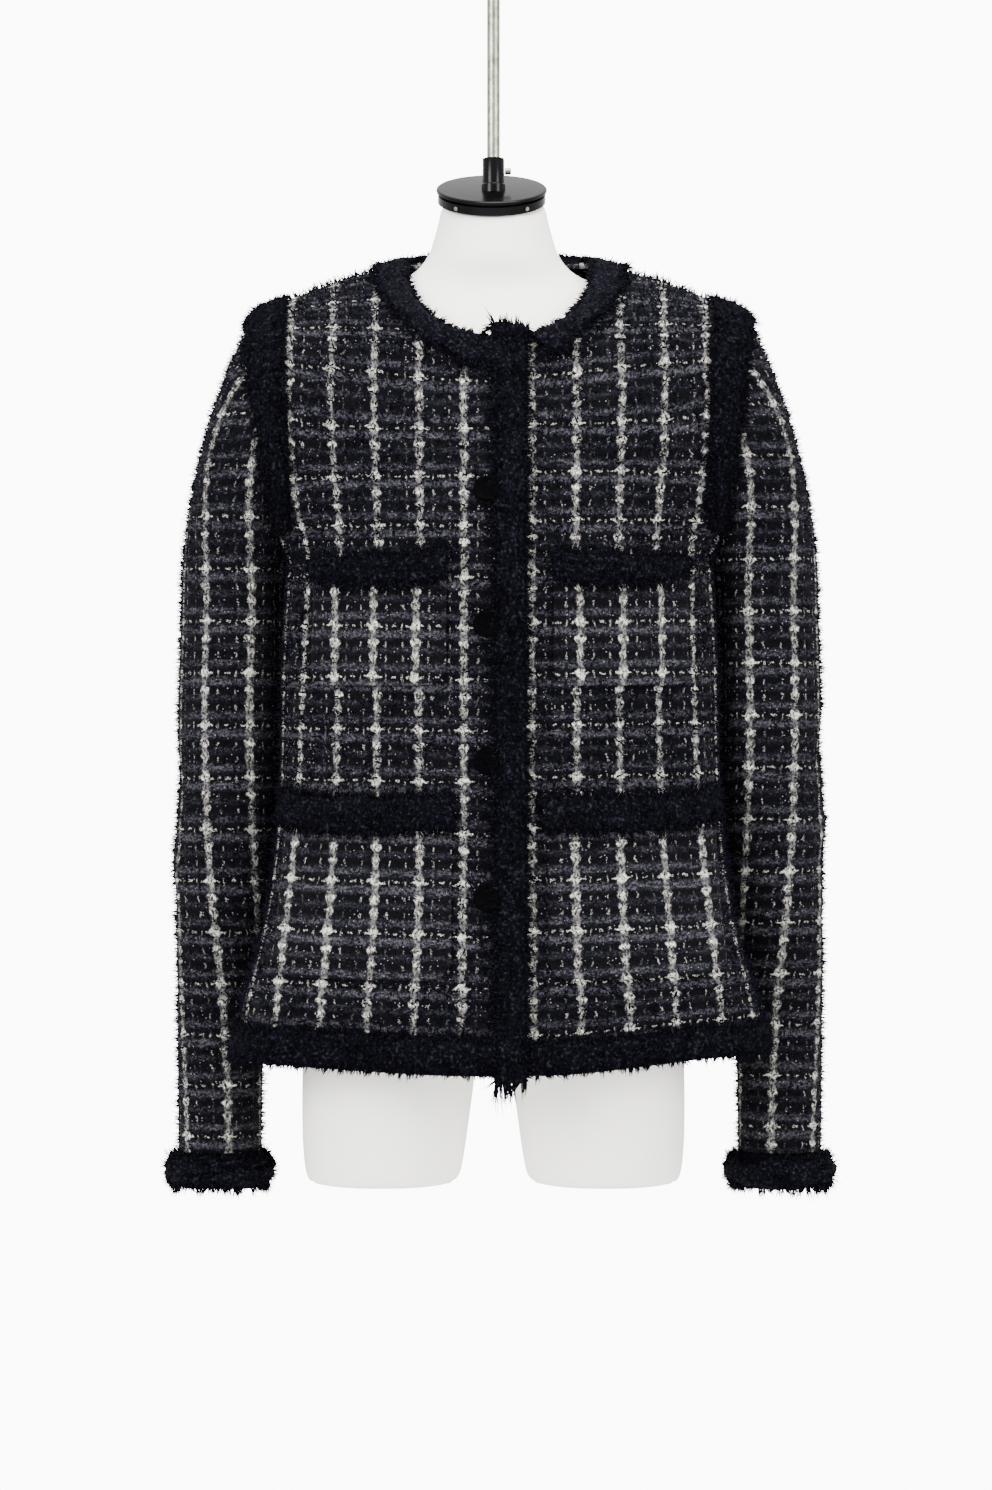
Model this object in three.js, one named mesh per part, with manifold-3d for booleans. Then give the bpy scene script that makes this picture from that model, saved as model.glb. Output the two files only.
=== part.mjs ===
// A fringed tweed jacket on a hanging dress form.
// Millimetres, +Z up, +X to the wearer's left, the front faces -Y.
// The origin is the top end of the rod that the form hangs from.
import * as THREE from 'three';
import Module from 'manifold-3d';

// ---- driving dimensions of the jacket, about its own centre plane ----
const JACKET_X = 5; // the jacket hangs this far off the rod's axis
const CLOTH = 2.5; // thickness of the tweed
const SEAM = 0.2; // each piece stops this far short of a seam
const LIFT = 0.85; // what lies on a panel starts this far above it
const ARM_LEVEL = -456; // height of the underarm
const HEM_SIDE = -834; // height of the hem at the side seam
const SHOULDER = { x: 190, y: 4, z: -254 }; // shoulder tip
const UNDERARM_X = 166;
const ARM_DEPTH = 62; // half the armhole's reach from front to back
const NECK = { half: 72, y: 4, z: -216, power: 2.3 }; // side neck point
const OVERLAP = 20; // how far each front runs past the centre line
const REACH = 240; // length of one unit of column number past the centre line
const OVER_RISE = 3.4; // the overlapping front lies this far out
const OVER_FADE = [24, 80]; // and settles back over this stretch
const COLUMNS = 10; // cells across each half of a panel
const LOWER_ROWS = 8; // cells from the hem to the underarm
const ARM_STEP = 15; // degrees of armhole for each row above the underarm
const ARMHOLE_END = 120; // the armhole's fringe runs this far round from the shoulder

// Each panel half is a stack of rows. A row starts on the centre line, or on the neckline
// above it, and ends on the side seam or the armhole. "level" is the height of its start,
// "depth" how far it starts from the mid plane, "turn" the angle through which it has
// turned when it ends, "pull" and "fill" how full it is at its start and end, and
// "crown" how far its middle rises.
const FRONT = {
  side: -1,
  hem: -838,
  neck: -281,
  top: -156,
  drop: 65,
  inset: 84,
  rows: [
    { level: -838, depth: 139, turn: 130, pull: 1.25, fill: 2.3, crown: 0 },
    { level: -790, depth: 136, turn: 125, pull: 1.25, fill: 2.25, crown: 0 },
    { level: -730, depth: 132, turn: 117, pull: 1.25, fill: 1.9, crown: 0 },
    { level: -670, depth: 128, turn: 112, pull: 1.2, fill: 1.65, crown: 0 },
    { level: -600, depth: 125, turn: 108, pull: 1.2, fill: 1.5, crown: 0 },
    { level: -530, depth: 127, turn: 106, pull: 1.2, fill: 1.4, crown: 0 },
    { level: -456, depth: 130, turn: 96, pull: 1.2, fill: 1.25, crown: 0 },
    { level: -400, depth: 121, turn: 72, pull: 1.15, fill: 1.1, crown: 0 },
    { level: -345, depth: 104, turn: 48, pull: 1.1, fill: 1, crown: 0 },
    { level: -281, depth: 80, turn: 28, pull: 1, fill: 1, crown: 2 },
    { level: -219, depth: 50, turn: 12, pull: 1, fill: 1, crown: 11 },
    { level: -156, depth: 0, turn: 0, pull: 1, fill: 1, crown: 4.5 },
  ],
};
const BACK = {
  side: 1,
  hem: -842,
  neck: -204,
  top: -150,
  drop: -12,
  inset: 58,
  rows: [
    { level: -842, depth: 128, turn: 128, pull: 1.25, fill: 2.1, crown: 0 },
    { level: -790, depth: 123, turn: 124, pull: 1.25, fill: 2, crown: 0 },
    { level: -730, depth: 116, turn: 115, pull: 1.25, fill: 1.9, crown: 0 },
    { level: -670, depth: 106, turn: 102, pull: 1.2, fill: 1.5, crown: 0 },
    { level: -600, depth: 98, turn: 92, pull: 1.2, fill: 1.3, crown: 0 },
    { level: -530, depth: 101, turn: 90, pull: 1.2, fill: 1.25, crown: 0 },
    { level: -456, depth: 108, turn: 88, pull: 1.2, fill: 1.2, crown: 0 },
    { level: -400, depth: 109, turn: 70, pull: 1.15, fill: 1.15, crown: 0 },
    { level: -345, depth: 104, turn: 48, pull: 1.1, fill: 1, crown: 0 },
    { level: -280, depth: 90, turn: 30, pull: 1, fill: 1, crown: 2 },
    { level: -204, depth: 62, turn: 14, pull: 1, fill: 1, crown: 6 },
    { level: -150, depth: 0, turn: 0, pull: 1, fill: 1, crown: 4.5 },
  ],
};
const SIDE_SEAM = [
  { height: -834, x: 168, y: 20 },
  { height: -760, x: 166, y: 16 },
  { height: -680, x: 164, y: 11 },
  { height: -600, x: 164, y: 7 },
  { height: -520, x: 165, y: 5 },
  { height: -456, x: 166, y: 4 },
];

// A sleeve hangs from its armhole. Below the cap its rings are level, and each row gives
// the ring's outer and inner x, front and back y, and height.
const SLEEVE = [
  { height: -478, outer: 246, inner: 168.5, front: -52, back: 64 },
  { height: -580, outer: 249, inner: 168, front: -48, back: 66 },
  { height: -690, outer: 250, inner: 173, front: -34, back: 68 },
  { height: -800, outer: 250.5, inner: 187, front: -14, back: 62 },
  { height: -908, outer: 250, inner: 190, front: -8, back: 60 },
];
const CAP_STEPS = [0, 0.1, 0.25, 0.45, 0.7, 1];
const SLEEVE_POWER = 0.92; // a little squarer than an ellipse

const POCKETS = {
  upper: { from: 40, to: 151, top: -446, bottom: -546, corner: 14 },
  lower: { from: 36, to: 176, top: -633, bottom: -768, corner: 18 },
};
const BUTTONS = { first: -397, pitch: 102.8, count: 4, across: 13.3, radius: 10, thick: 4, segments: 16 };
const TRIM = { thick: 6.5, edge: 2, hem: 31, front: 21.5, pocket: 30, neck: 27, armhole: 26 };
const CUFF = { wide: 33, thick: 11, beyond: 3 }; // the cuff's fringe, and how far it tops its seam
const POCKET_RISE = 6; // the pocket's fringe stands this far above its mouth
const FRONT_TAIL = 6; // the front's fringe runs this far below the hem
const NECK_OUT = 2; // the neck's fringe starts this far inside the neckline
const NECK_GAP = 2.47; // room under the neck's fringe, which spans the panels' facets
const ARMHOLE_GAP = 0.98;

// ---- driving dimensions of the form, about the rod's axis ----
const FORM = [
  { height: -167.4, half: 40.5, front: -34.5, back: 45.5, power: 2, tilt: 0.404 },
  { height: -182, half: 43, front: -37, back: 48, power: 2, tilt: 0.3 },
  { height: -198, half: 48, front: -39, back: 51, power: 2, tilt: 0.2 },
  { height: -212, half: 55, front: -41, back: 52, power: 1.9, tilt: 0.1 },
  { height: -224, half: 66, front: -38, back: 53, power: 1.7, tilt: 0 },
  { height: -233, half: 90, front: -37, back: 56, power: 1.5, tilt: 0 },
  { height: -242, half: 118, front: -41, back: 60, power: 1.4, tilt: 0 },
  { height: -254, half: 140, front: -48, back: 65, power: 1.5, tilt: 0 },
  { height: -275, half: 156, front: -60, back: 73, power: 1.8, tilt: 0 },
  { height: -310, half: 160, front: -79, back: 82, power: 2.1, tilt: 0 },
  { height: -356, half: 158, front: -97, back: 90, power: 2.2, tilt: 0 },
  { height: -400, half: 152, front: -111, back: 95, power: 2.2, tilt: 0 },
  { height: -456, half: 147, front: -120, back: 95, power: 2.2, tilt: 0 },
  { height: -530, half: 136, front: -111, back: 84, power: 2.1, tilt: 0 },
  { height: -600, half: 126, front: -100, back: 74, power: 2.1, tilt: 0 },
  { height: -680, half: 141, front: -106, back: 90, power: 2.1, tilt: 0 },
  { height: -750, half: 152, front: -110, back: 102, power: 2.2, tilt: 0 },
  { height: -810, half: 152, front: -104, back: 100, power: 2.3, tilt: 0 },
];
const THIGH = [
  { height: -780, x: 76, half: 68, front: -88, back: 88 },
  { height: -830, x: 79, half: 67, front: -86, back: 86 },
  { height: -890, x: 83.5, half: 61.5, front: -78, back: 80 },
  { height: -924, x: 88.5, half: 55.5, front: -73, back: 75 },
  { height: -930, x: 88.5, half: 52, front: -69, back: 71 },
];
const CAP = { x: -1.4, z: -156, tilt: 22, radius: 43.2, disc: 3, groove: 1.2, band: 7.5, inset: 1.2 };
const COLLAR = { radius: 8.5, top: -132.6, bore: 5.4 };
const ROD = { radius: 5, end: -150 };
const SCREW = { radius: 1.7, thick: 1, angles: [50, 130, 230, 310] };
const THUMB = { radius: 2.6, length: 5, height: -143 };
const FIT = 0.3; // clearance between the hardware's parts

// ---- small helpers ----
const rad = THREE.MathUtils.degToRad;
const lerp = THREE.MathUtils.lerp;
const smooth = THREE.MathUtils.smoothstep;
const vec = (x, y, z) => new THREE.Vector3(x, y, z);
const power = (value, exponent) => Math.sign(value) * Math.abs(value) ** exponent;

function hermite(a, slopeA, b, slopeB, t) {
  const t2 = t * t;
  const t3 = t2 * t;
  return a * (2 * t3 - 3 * t2 + 1) + slopeA * (t3 - 2 * t2 + t)
    + b * (3 * t2 - 2 * t3) + slopeB * (t3 - t2);
}

// The smooth value of one column of a table whose rows rise (or fall) along "key".
function read(table, key, at, column) {
  const rising = table[1][key] > table[0][key];
  const last = table.length - 1;
  let i = 0;
  while (i < last - 1 && (rising ? at > table[i + 1][key] : at < table[i + 1][key])) i += 1;
  const [a, b] = [table[i], table[i + 1]];
  const before = table[Math.max(i - 1, 0)];
  const after = table[Math.min(i + 2, last)];
  const span = b[key] - a[key];
  const slopeA = (b[column] - before[column]) / (b[key] - before[key]) * span;
  const slopeB = (after[column] - a[column]) / (after[key] - a[key]) * span;
  const t = THREE.MathUtils.clamp((at - a[key]) / span, 0, 1);
  return hermite(a[column], slopeA, b[column], slopeB, t);
}

// ---- the cut of the body ----
function neckline(panel, degrees) {
  const s = Math.sin(rad(degrees)) ** (2 / NECK.power);
  const c = Math.max(Math.cos(rad(degrees)), 0) ** (2 / NECK.power);
  return vec(NECK.half * s, NECK.y + panel.side * panel.inset * c, NECK.z - panel.drop * c);
}

// The armhole's angle is 0 at the shoulder and 180 at the underarm; front is side -1.
function armhole(degrees, side) {
  const height = (SHOULDER.z - ARM_LEVEL) / 2;
  const z = ARM_LEVEL + height * (1 + Math.cos(rad(degrees)));
  const fall = ((SHOULDER.z - z) / (2 * height)) ** 1.8;
  const y = SHOULDER.y + side * ARM_DEPTH * Math.sin(rad(degrees));
  return vec(lerp(SHOULDER.x, UNDERARM_X, fall), y, z);
}

function rowStart(panel, level) {
  if (level > panel.neck) {
    return neckline(panel, 90 * (level - panel.neck) / (panel.top - panel.neck));
  }
  return vec(0, panel.side * read(panel.rows, 'level', level, 'depth'), level);
}

function rowEnd(panel, level) {
  if (level > ARM_LEVEL) {
    return armhole(180 * (panel.top - level) / (panel.top - ARM_LEVEL), panel.side);
  }
  const z = ARM_LEVEL + (level - ARM_LEVEL) * (HEM_SIDE - ARM_LEVEL) / (panel.hem - ARM_LEVEL);
  return vec(read(SIDE_SEAM, 'height', z, 'x'), read(SIDE_SEAM, 'height', z, 'y'), z);
}

// A row as a function of t, even in length from 0 to 1.
function rowCurve(panel, level) {
  const start = rowStart(panel, level);
  const end = rowEnd(panel, level);
  const chord = Math.hypot(end.x - start.x, end.y - start.y);
  const turn = rad(read(panel.rows, 'level', level, 'turn'));
  const pull = chord * read(panel.rows, 'level', level, 'pull');
  const fill = chord * read(panel.rows, 'level', level, 'fill');
  const crown = read(panel.rows, 'level', level, 'crown');
  const at = (t) => vec(
    hermite(start.x, pull, end.x, fill * Math.cos(turn), t),
    hermite(start.y, 0, end.y, -panel.side * fill * Math.sin(turn), t),
    lerp(start.z, end.z, t) + crown * 4 * t * (1 - t),
  );
  const steps = 40;
  const lengths = [0];
  for (let i = 1; i <= steps; i += 1) {
    lengths.push(lengths[i - 1] + at(i / steps).distanceTo(at((i - 1) / steps)));
  }
  const total = lengths[steps];
  const even = (share) => {
    let i = 1;
    while (i < steps && lengths[i] < share * total) i += 1;
    const inside = (share * total - lengths[i - 1]) / (lengths[i] - lengths[i - 1]);
    return at((i - 1 + inside) / steps);
  };
  return { total, even };
}

// Past the centre line (column below 0) a front goes on round the body's other side.
function bodyPoint(panel, column, level, over) {
  const row = rowCurve(panel, level);
  const along = column < 0 ? -column * REACH : column * row.total;
  const point = row.even(along / row.total);
  const rise = over ? OVER_RISE * (1 - smooth(along, ...OVER_FADE)) : 0;
  return vec(column < 0 ? -point.x : point.x, point.y - rise, point.z);
}

// One point of a level ring round the sleeve, "out" from its cloth.
function sleeveRing(row, degrees, z, out = 0) {
  const wide = (row.outer - row.inner) / 2 + out;
  const deep = (row.back - row.front) / 2 + out;
  return vec(
    (row.outer + row.inner) / 2 + power(Math.cos(rad(degrees)), SLEEVE_POWER) * wide,
    (row.front + row.back) / 2 - power(Math.sin(rad(degrees)), SLEEVE_POWER) * deep,
    z,
  );
}

// The cap leaves the armhole outwards and down: steeper at the top, close in at the underarm.
function sleevePoint(degrees, cap, height) {
  const side = degrees > 180 ? 1 : -1;
  const around = degrees > 180 ? 360 - degrees : degrees;
  const ring = (z) => {
    const [outer, inner, front, back] = ['outer', 'inner', 'front', 'back']
      .map((column) => read(SLEEVE, 'height', z, column));
    return sleeveRing({ outer, inner, front, back }, degrees, z);
  };
  if (cap >= 1) return ring(height);
  const start = armhole(around, side);
  start.x += SEAM * (1 - Math.cos(rad(degrees)));
  const end = ring(SLEEVE[0].height);
  const chord = start.distanceTo(end);
  const up = Math.max(Math.cos(rad(degrees)), 0) ** 2;
  const down = Math.max(-Math.cos(rad(degrees)), 0) ** 2;
  const leave = vec(
    0.8 - 0.4 * up - 0.65 * down,
    -0.25 * Math.sin(rad(degrees)),
    -0.55 - 0.37 * up - 0.45 * down,
  );
  return vec(
    hermite(start.x, leave.x * chord, end.x, 0, cap),
    hermite(start.y, leave.y * chord, end.y, 0, cap),
    hermite(start.z, leave.z * chord, end.z, -chord, cap),
  );
}

// ---- grids of points with normals ----
// A grid is points[row][column] with a normal at each, from the cells around it.
function withNormals(grid) {
  const { points, wrap } = grid;
  const rows = points.length;
  const columns = points[0].length;
  grid.normals = points.map((line, j) => line.map((point, i) => {
    const left = wrap ? line[(i + columns - 1) % columns] : line[Math.max(i - 1, 0)];
    const right = wrap ? line[(i + 1) % columns] : line[Math.min(i + 1, columns - 1)];
    const below = points[Math.max(j - 1, 0)][i];
    const above = points[Math.min(j + 1, rows - 1)][i];
    return right.clone().sub(left).cross(above.clone().sub(below)).normalize();
  }));
  return grid;
}

function bodyGrid(panel, columns, over = false) {
  const levels = [];
  for (let k = 0; k < LOWER_ROWS; k += 1) levels.push(lerp(panel.hem, ARM_LEVEL, k / LOWER_ROWS));
  const upper = 180 / ARM_STEP;
  for (let k = 0; k <= upper; k += 1) levels.push(lerp(ARM_LEVEL, panel.top, k / upper));
  const points = levels.map((level) => columns.map((column) => bodyPoint(panel, column, level, over)));
  return withNormals({ levels, columns, points, panel });
}

function sleeveGrid() {
  const degrees = [];
  for (let angle = 0; angle < 360; angle += ARM_STEP) degrees.push(angle);
  const lines = CAP_STEPS.map((cap) => ({ cap, height: SLEEVE[0].height }));
  for (const row of SLEEVE.slice(1)) lines.push({ cap: 1, height: row.height });
  const points = lines.map(({ cap, height }) => degrees.map((angle) => sleevePoint(angle, cap, height)));
  return withNormals({ points, wrap: true, degrees });
}

// Where a seam folds outwards, both pieces take the same normal, so their walls meet face to
// face. Where the sleeve sets off along the panel's normal the seam folds in, and they keep theirs.
const FOLDS_IN = 0.05;
function shareNormals(body, sleeve) {
  const average = (a, b) => {
    const sum = a.clone().add(b).normalize();
    a.copy(sum);
    b.copy(sum);
  };
  const { front, back } = body;
  const last = COLUMNS;
  front.points.forEach((_, j) => {
    if (front.levels[j] <= ARM_LEVEL) average(front.normals[j].at(-1), back.normals[j][last]);
  });
  const top = front.points.length - 1;
  const shift = front.columns.length - 1 - COLUMNS;
  for (let i = 0; i <= COLUMNS; i += 1) average(front.normals[top][i + shift], back.normals[top][i]);
  const ring = sleeve.normals[0];
  const into = (i) => sleeve.points[1][i].clone().sub(sleeve.points[0][i]).normalize();
  sleeve.degrees.forEach((angle, i) => {
    const panel = angle > 180 ? back : front;
    const around = angle > 180 ? 360 - angle : angle;
    const j = top - Math.round(around / ARM_STEP);
    const normal = panel.normals[j].at(-1);
    if (normal.dot(into(i)) < FOLDS_IN) average(normal, ring[i]);
  });
  front.normals[top][front.columns.length - 1].copy(ring[0]);
  back.normals[top][last].copy(ring[0]);
}

// Stops a grid's outer lines a little short of the seams they meet, square to each seam.
function trimEdges(grid, edges) {
  const { points } = grid;
  const rows = points.length;
  const columns = points[0].length;
  const moves = [];
  const shorten = (point, inner, before, after) => {
    const seam = after.clone().sub(before).normalize();
    const back = inner.clone().sub(point);
    moves.push([point, back.addScaledVector(seam, -back.dot(seam)).setLength(SEAM)]);
  };
  const wrapped = (i) => (grid.wrap ? (i + columns) % columns : THREE.MathUtils.clamp(i, 0, columns - 1));
  if (edges.side) {
    const column = (j) => points[THREE.MathUtils.clamp(j, 0, rows - 1)][columns - 1];
    points.forEach((line, j) => shorten(line[columns - 1], line[columns - 2], column(j - 1), column(j + 1)));
  }
  const shortenLine = (line, next) => {
    line.forEach((point, i) => shorten(point, next[i], line[wrapped(i - 1)], line[wrapped(i + 1)]));
  };
  if (edges.top) shortenLine(points[rows - 1], points[rows - 2]);
  if (edges.bottom) shortenLine(points[0], points[1]);
  moves.forEach(([point, back]) => point.add(back));
}

// ---- solids from grids ----
// A wall between two layers of one grid of cells, closed all round the cells that it keeps.
function wall(outer, inner, { keep = () => true, wrap = false } = {}) {
  const rows = outer.length;
  const columns = outer[0].length;
  const cellsAcross = wrap ? columns : columns - 1;
  const positions = [];
  const index = [];
  const ids = new Map();
  const id = (layer, j, i) => {
    const key = `${layer},${j},${i % columns}`;
    if (!ids.has(key)) {
      ids.set(key, positions.length / 3);
      positions.push(...(layer ? inner : outer)[j][i % columns].toArray());
    }
    return ids.get(key);
  };
  const quad = (a, b, c, d) => index.push(a, b, c, a, c, d);
  const kept = (j, i) => {
    const column = wrap ? (i + columns) % columns : i;
    return j >= 0 && j < rows - 1 && column >= 0 && column < cellsAcross && keep(j, column);
  };
  for (let j = 0; j < rows - 1; j += 1) {
    for (let i = 0; i < cellsAcross; i += 1) {
      if (!kept(j, i)) continue;
      quad(id(0, j, i), id(0, j, i + 1), id(0, j + 1, i + 1), id(0, j + 1, i));
      quad(id(1, j, i), id(1, j + 1, i), id(1, j + 1, i + 1), id(1, j, i + 1));
      if (!kept(j - 1, i)) quad(id(0, j, i), id(1, j, i), id(1, j, i + 1), id(0, j, i + 1));
      if (!kept(j + 1, i)) quad(id(0, j + 1, i), id(0, j + 1, i + 1), id(1, j + 1, i + 1), id(1, j + 1, i));
      if (!kept(j, i - 1)) quad(id(0, j, i), id(0, j + 1, i), id(1, j + 1, i), id(1, j, i));
      if (!kept(j, i + 1)) quad(id(0, j, i + 1), id(1, j, i + 1), id(1, j + 1, i + 1), id(0, j + 1, i + 1));
    }
  }
  const geometry = new THREE.BufferGeometry();
  geometry.setAttribute('position', new THREE.Float32BufferAttribute(positions, 3));
  geometry.setIndex(index);
  return geometry;
}

const layer = (grid, offset) => grid.points.map((line, j) => line.map(
  (point, i) => point.clone().addScaledVector(grid.normals[j][i], offset),
));

// Solids that can be joined, and back again.
const wasm = await Module();
wasm.setup();

const toSolid = (geometry) => new wasm.Manifold(new wasm.Mesh({
  numProp: 3,
  vertProperties: new Float32Array(geometry.attributes.position.array),
  triVerts: new Uint32Array(geometry.index.array),
}));

function fromSolid(solid) {
  const mesh = solid.getMesh();
  const geometry = new THREE.BufferGeometry();
  geometry.setAttribute('position', new THREE.Float32BufferAttribute(Array.from(mesh.vertProperties), 3));
  geometry.setIndex(Array.from(mesh.triVerts));
  geometry.computeVertexNormals();
  return geometry;
}

// The faces of a mirrored or back-to-front grid are turned to point outwards again.
function faceOutwards(geometry) {
  const position = geometry.attributes.position;
  const index = geometry.index.array;
  const corner = (k) => new THREE.Vector3().fromBufferAttribute(position, index[k]);
  let volume = 0;
  for (let k = 0; k < index.length; k += 3) volume += corner(k).dot(corner(k + 1).cross(corner(k + 2)));
  if (volume < 0) {
    for (let k = 0; k < index.length; k += 3) [index[k + 1], index[k + 2]] = [index[k + 2], index[k + 1]];
  }
  geometry.computeVertexNormals();
  return geometry;
}

const mirrored = (geometry) => faceOutwards(geometry.clone().scale(-1, 1, 1));

// A point above the faceted panel, at any column and level.
function above(grid, column, level, offset) {
  const place = (list, value) => {
    let i = 0;
    while (i < list.length - 2 && value > list[i + 1]) i += 1;
    return [i, (value - list[i]) / (list[i + 1] - list[i])];
  };
  const [i, u] = place(grid.columns, column);
  const [j, v] = place(grid.levels, level);
  const blend = (field) => {
    const low = field[j][i].clone().lerp(field[j][i + 1], u);
    return low.lerp(field[j + 1][i].clone().lerp(field[j + 1][i + 1], u), v);
  };
  return blend(grid.points).addScaledVector(blend(grid.normals).normalize(), offset);
}

// The wanted lines with the panel's own lines between them, so a piece follows its facets.
// A panel line closer to a wanted one than this share of the piece is left out.
const TOO_CLOSE = 0.015;

function linesBetween(wanted, own) {
  const [low, high] = [Math.min(...wanted), Math.max(...wanted)];
  const near = (value) => wanted.some((line) => Math.abs(line - value) < (high - low) * TOO_CLOSE);
  const between = own.filter((value) => value > low && value < high && !near(value));
  return [...wanted, ...between].sort((a, b) => a - b);
}

// A piece that lies on a panel, "height" thick where it is.
function onPanel(grid, columns, levels, base, height, shape = (point) => point) {
  const make = (offset) => levels.map((level) => columns.map((column) => {
    const [c, l] = shape([column, level]);
    return above(grid, c, l, offset(column, level));
  }));
  return faceOutwards(wall(
    make((column, level) => base + height(column, level)),
    make(() => base),
  ));
}

// The rounded section of a fringe: 0 and 1 are its two edges.
const fringe = (share) => TRIM.edge + (TRIM.thick - TRIM.edge) * (1 - Math.abs(2 * share - 1) ** 3);
const ACROSS = [0, 0.14, 0.5, 0.86, 1];

// ---- trims that follow a curved edge ----
// Closest point of a faceted panel, with its smooth normal there.
function footOn(grids, target) {
  let best = { distance: Infinity };
  const triangle = new THREE.Triangle();
  const closest = vec(0, 0, 0);
  const shares = vec(0, 0, 0);
  for (const grid of grids) {
    const { points, normals } = grid;
    for (let j = 0; j < points.length - 1; j += 1) {
      for (let i = 0; i < points[0].length - 1; i += 1) {
        const corners = [[j, i], [j, i + 1], [j + 1, i + 1], [j + 1, i]];
        for (const [a, b, c] of [[0, 1, 2], [0, 2, 3]]) {
          const [p, q, r] = [corners[a], corners[b], corners[c]];
          triangle.set(points[p[0]][p[1]], points[q[0]][q[1]], points[r[0]][r[1]]);
          triangle.closestPointToPoint(target, closest);
          const distance = closest.distanceTo(target);
          if (distance < best.distance) {
            triangle.getBarycoord(closest, shares);
            const normal = vec(0, 0, 0);
            [p, q, r].forEach(([row, column], k) => {
              normal.addScaledVector(normals[row][column], shares.getComponent(k));
            });
            best = { distance, point: closest.clone(), normal: normal.normalize() };
          }
        }
      }
    }
  }
  return best;
}

// A strip of fringe: each station has a point on the edge and the direction across the cloth.
function strip(stations, width, start, gap) {
  const make = (raised) => stations.map(({ point, across, grids }) => ACROSS.map((share) => {
    const target = point.clone().addScaledVector(across, start + share * width);
    const foot = footOn(grids, target);
    const beyond = target.clone().sub(foot.point);
    beyond.addScaledVector(foot.normal, -beyond.dot(foot.normal));
    const height = gap + (raised ? fringe(share) : 0);
    return foot.point.add(beyond).addScaledVector(foot.normal, height);
  }));
  return faceOutwards(wall(make(true), make(false)));
}

// The mirror image of a grid, for the other half of the body.
const mirrorGrid = (grid) => ({
  ...grid,
  points: grid.points.map((line) => line.map((point) => point.clone().multiply(vec(-1, 1, 1)))),
  normals: grid.normals.map((line) => line.map((normal) => normal.clone().multiply(vec(-1, 1, 1)))),
});

// ---- the grids of this jacket ----
const halfColumns = Array.from({ length: COLUMNS + 1 }, (_, i) => i / COLUMNS);
const frontColumns = [-OVERLAP / REACH, ...halfColumns];
const overGrid = bodyGrid(FRONT, frontColumns, true);
const underGrid = bodyGrid(FRONT, frontColumns);
const backGrid = bodyGrid(BACK, halfColumns);
backGrid.normals.forEach((line) => line.forEach((normal) => normal.negate()));
const armGrid = sleeveGrid();
shareNormals({ front: underGrid, back: backGrid }, armGrid);
overGrid.normals.forEach((line, j) => line.forEach((normal, i) => normal.copy(underGrid.normals[j][i])));
for (const grid of [overGrid, underGrid, backGrid]) trimEdges(grid, { side: true, top: true });
trimEdges(armGrid, { bottom: true });

// ---- pieces ----
const TWEED = { color: 0x2b2b32, roughness: 0.95, metalness: 0 };
const YARN = { color: 0x0f0f16, roughness: 1, metalness: 0 };
const MATT_BLACK = { color: 0x111114, roughness: 0.55, metalness: 0 };
const GLOSS_BLACK = { color: 0x101012, roughness: 0.25, metalness: 0.1 };
const SHELL = { color: 0xe8e8e4, roughness: 0.6, metalness: 0 };
const STEEL = { color: 0xb8b8ac, roughness: 0.45, metalness: 0.9 };
const jacket = new THREE.Group();
jacket.position.x = JACKET_X;
const form = new THREE.Group();

function piece(parent, name, geometry, look) {
  const mesh = new THREE.Mesh(geometry, new THREE.MeshStandardMaterial(look));
  mesh.name = name;
  parent.add(mesh);
  return mesh;
}

function makeFronts() {
  const keep = (grid) => (j, i) => i > 0 || grid.levels[j + 1] <= FRONT.neck + 1;
  const front = (grid) => faceOutwards(wall(layer(grid, 0), layer(grid, -CLOTH), { keep: keep(grid) }));
  piece(jacket, 'front_left', front(underGrid), TWEED);
  piece(jacket, 'front_right', mirrored(front(overGrid)), TWEED);
}

// The back is cut in one: its two halves are joined along the centre line.
function makeBack() {
  const onCentre = (j) => backGrid.levels[j] <= BACK.neck + 1;
  backGrid.normals.forEach((line, j) => {
    if (onCentre(j)) line[0].setX(0).normalize();
  });
  const half = faceOutwards(wall(layer(backGrid, 0), layer(backGrid, -CLOTH)));
  piece(jacket, 'back', fromSolid(toSolid(half).add(toSolid(mirrored(half)))), TWEED);
}

function makeSleeves() {
  const sleeve = faceOutwards(wall(layer(armGrid, 0), layer(armGrid, -CLOTH), { wrap: true }));
  piece(jacket, 'sleeve_left', sleeve, TWEED);
  piece(jacket, 'sleeve_right', mirrored(sleeve), TWEED);
}

// A patch pocket with rounded lower corners, and the fringe along its mouth. Each lower
// corner is cut off CORNER_CUT of the corner's size along both edges.
const CORNER_CUT = 0.3;

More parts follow.
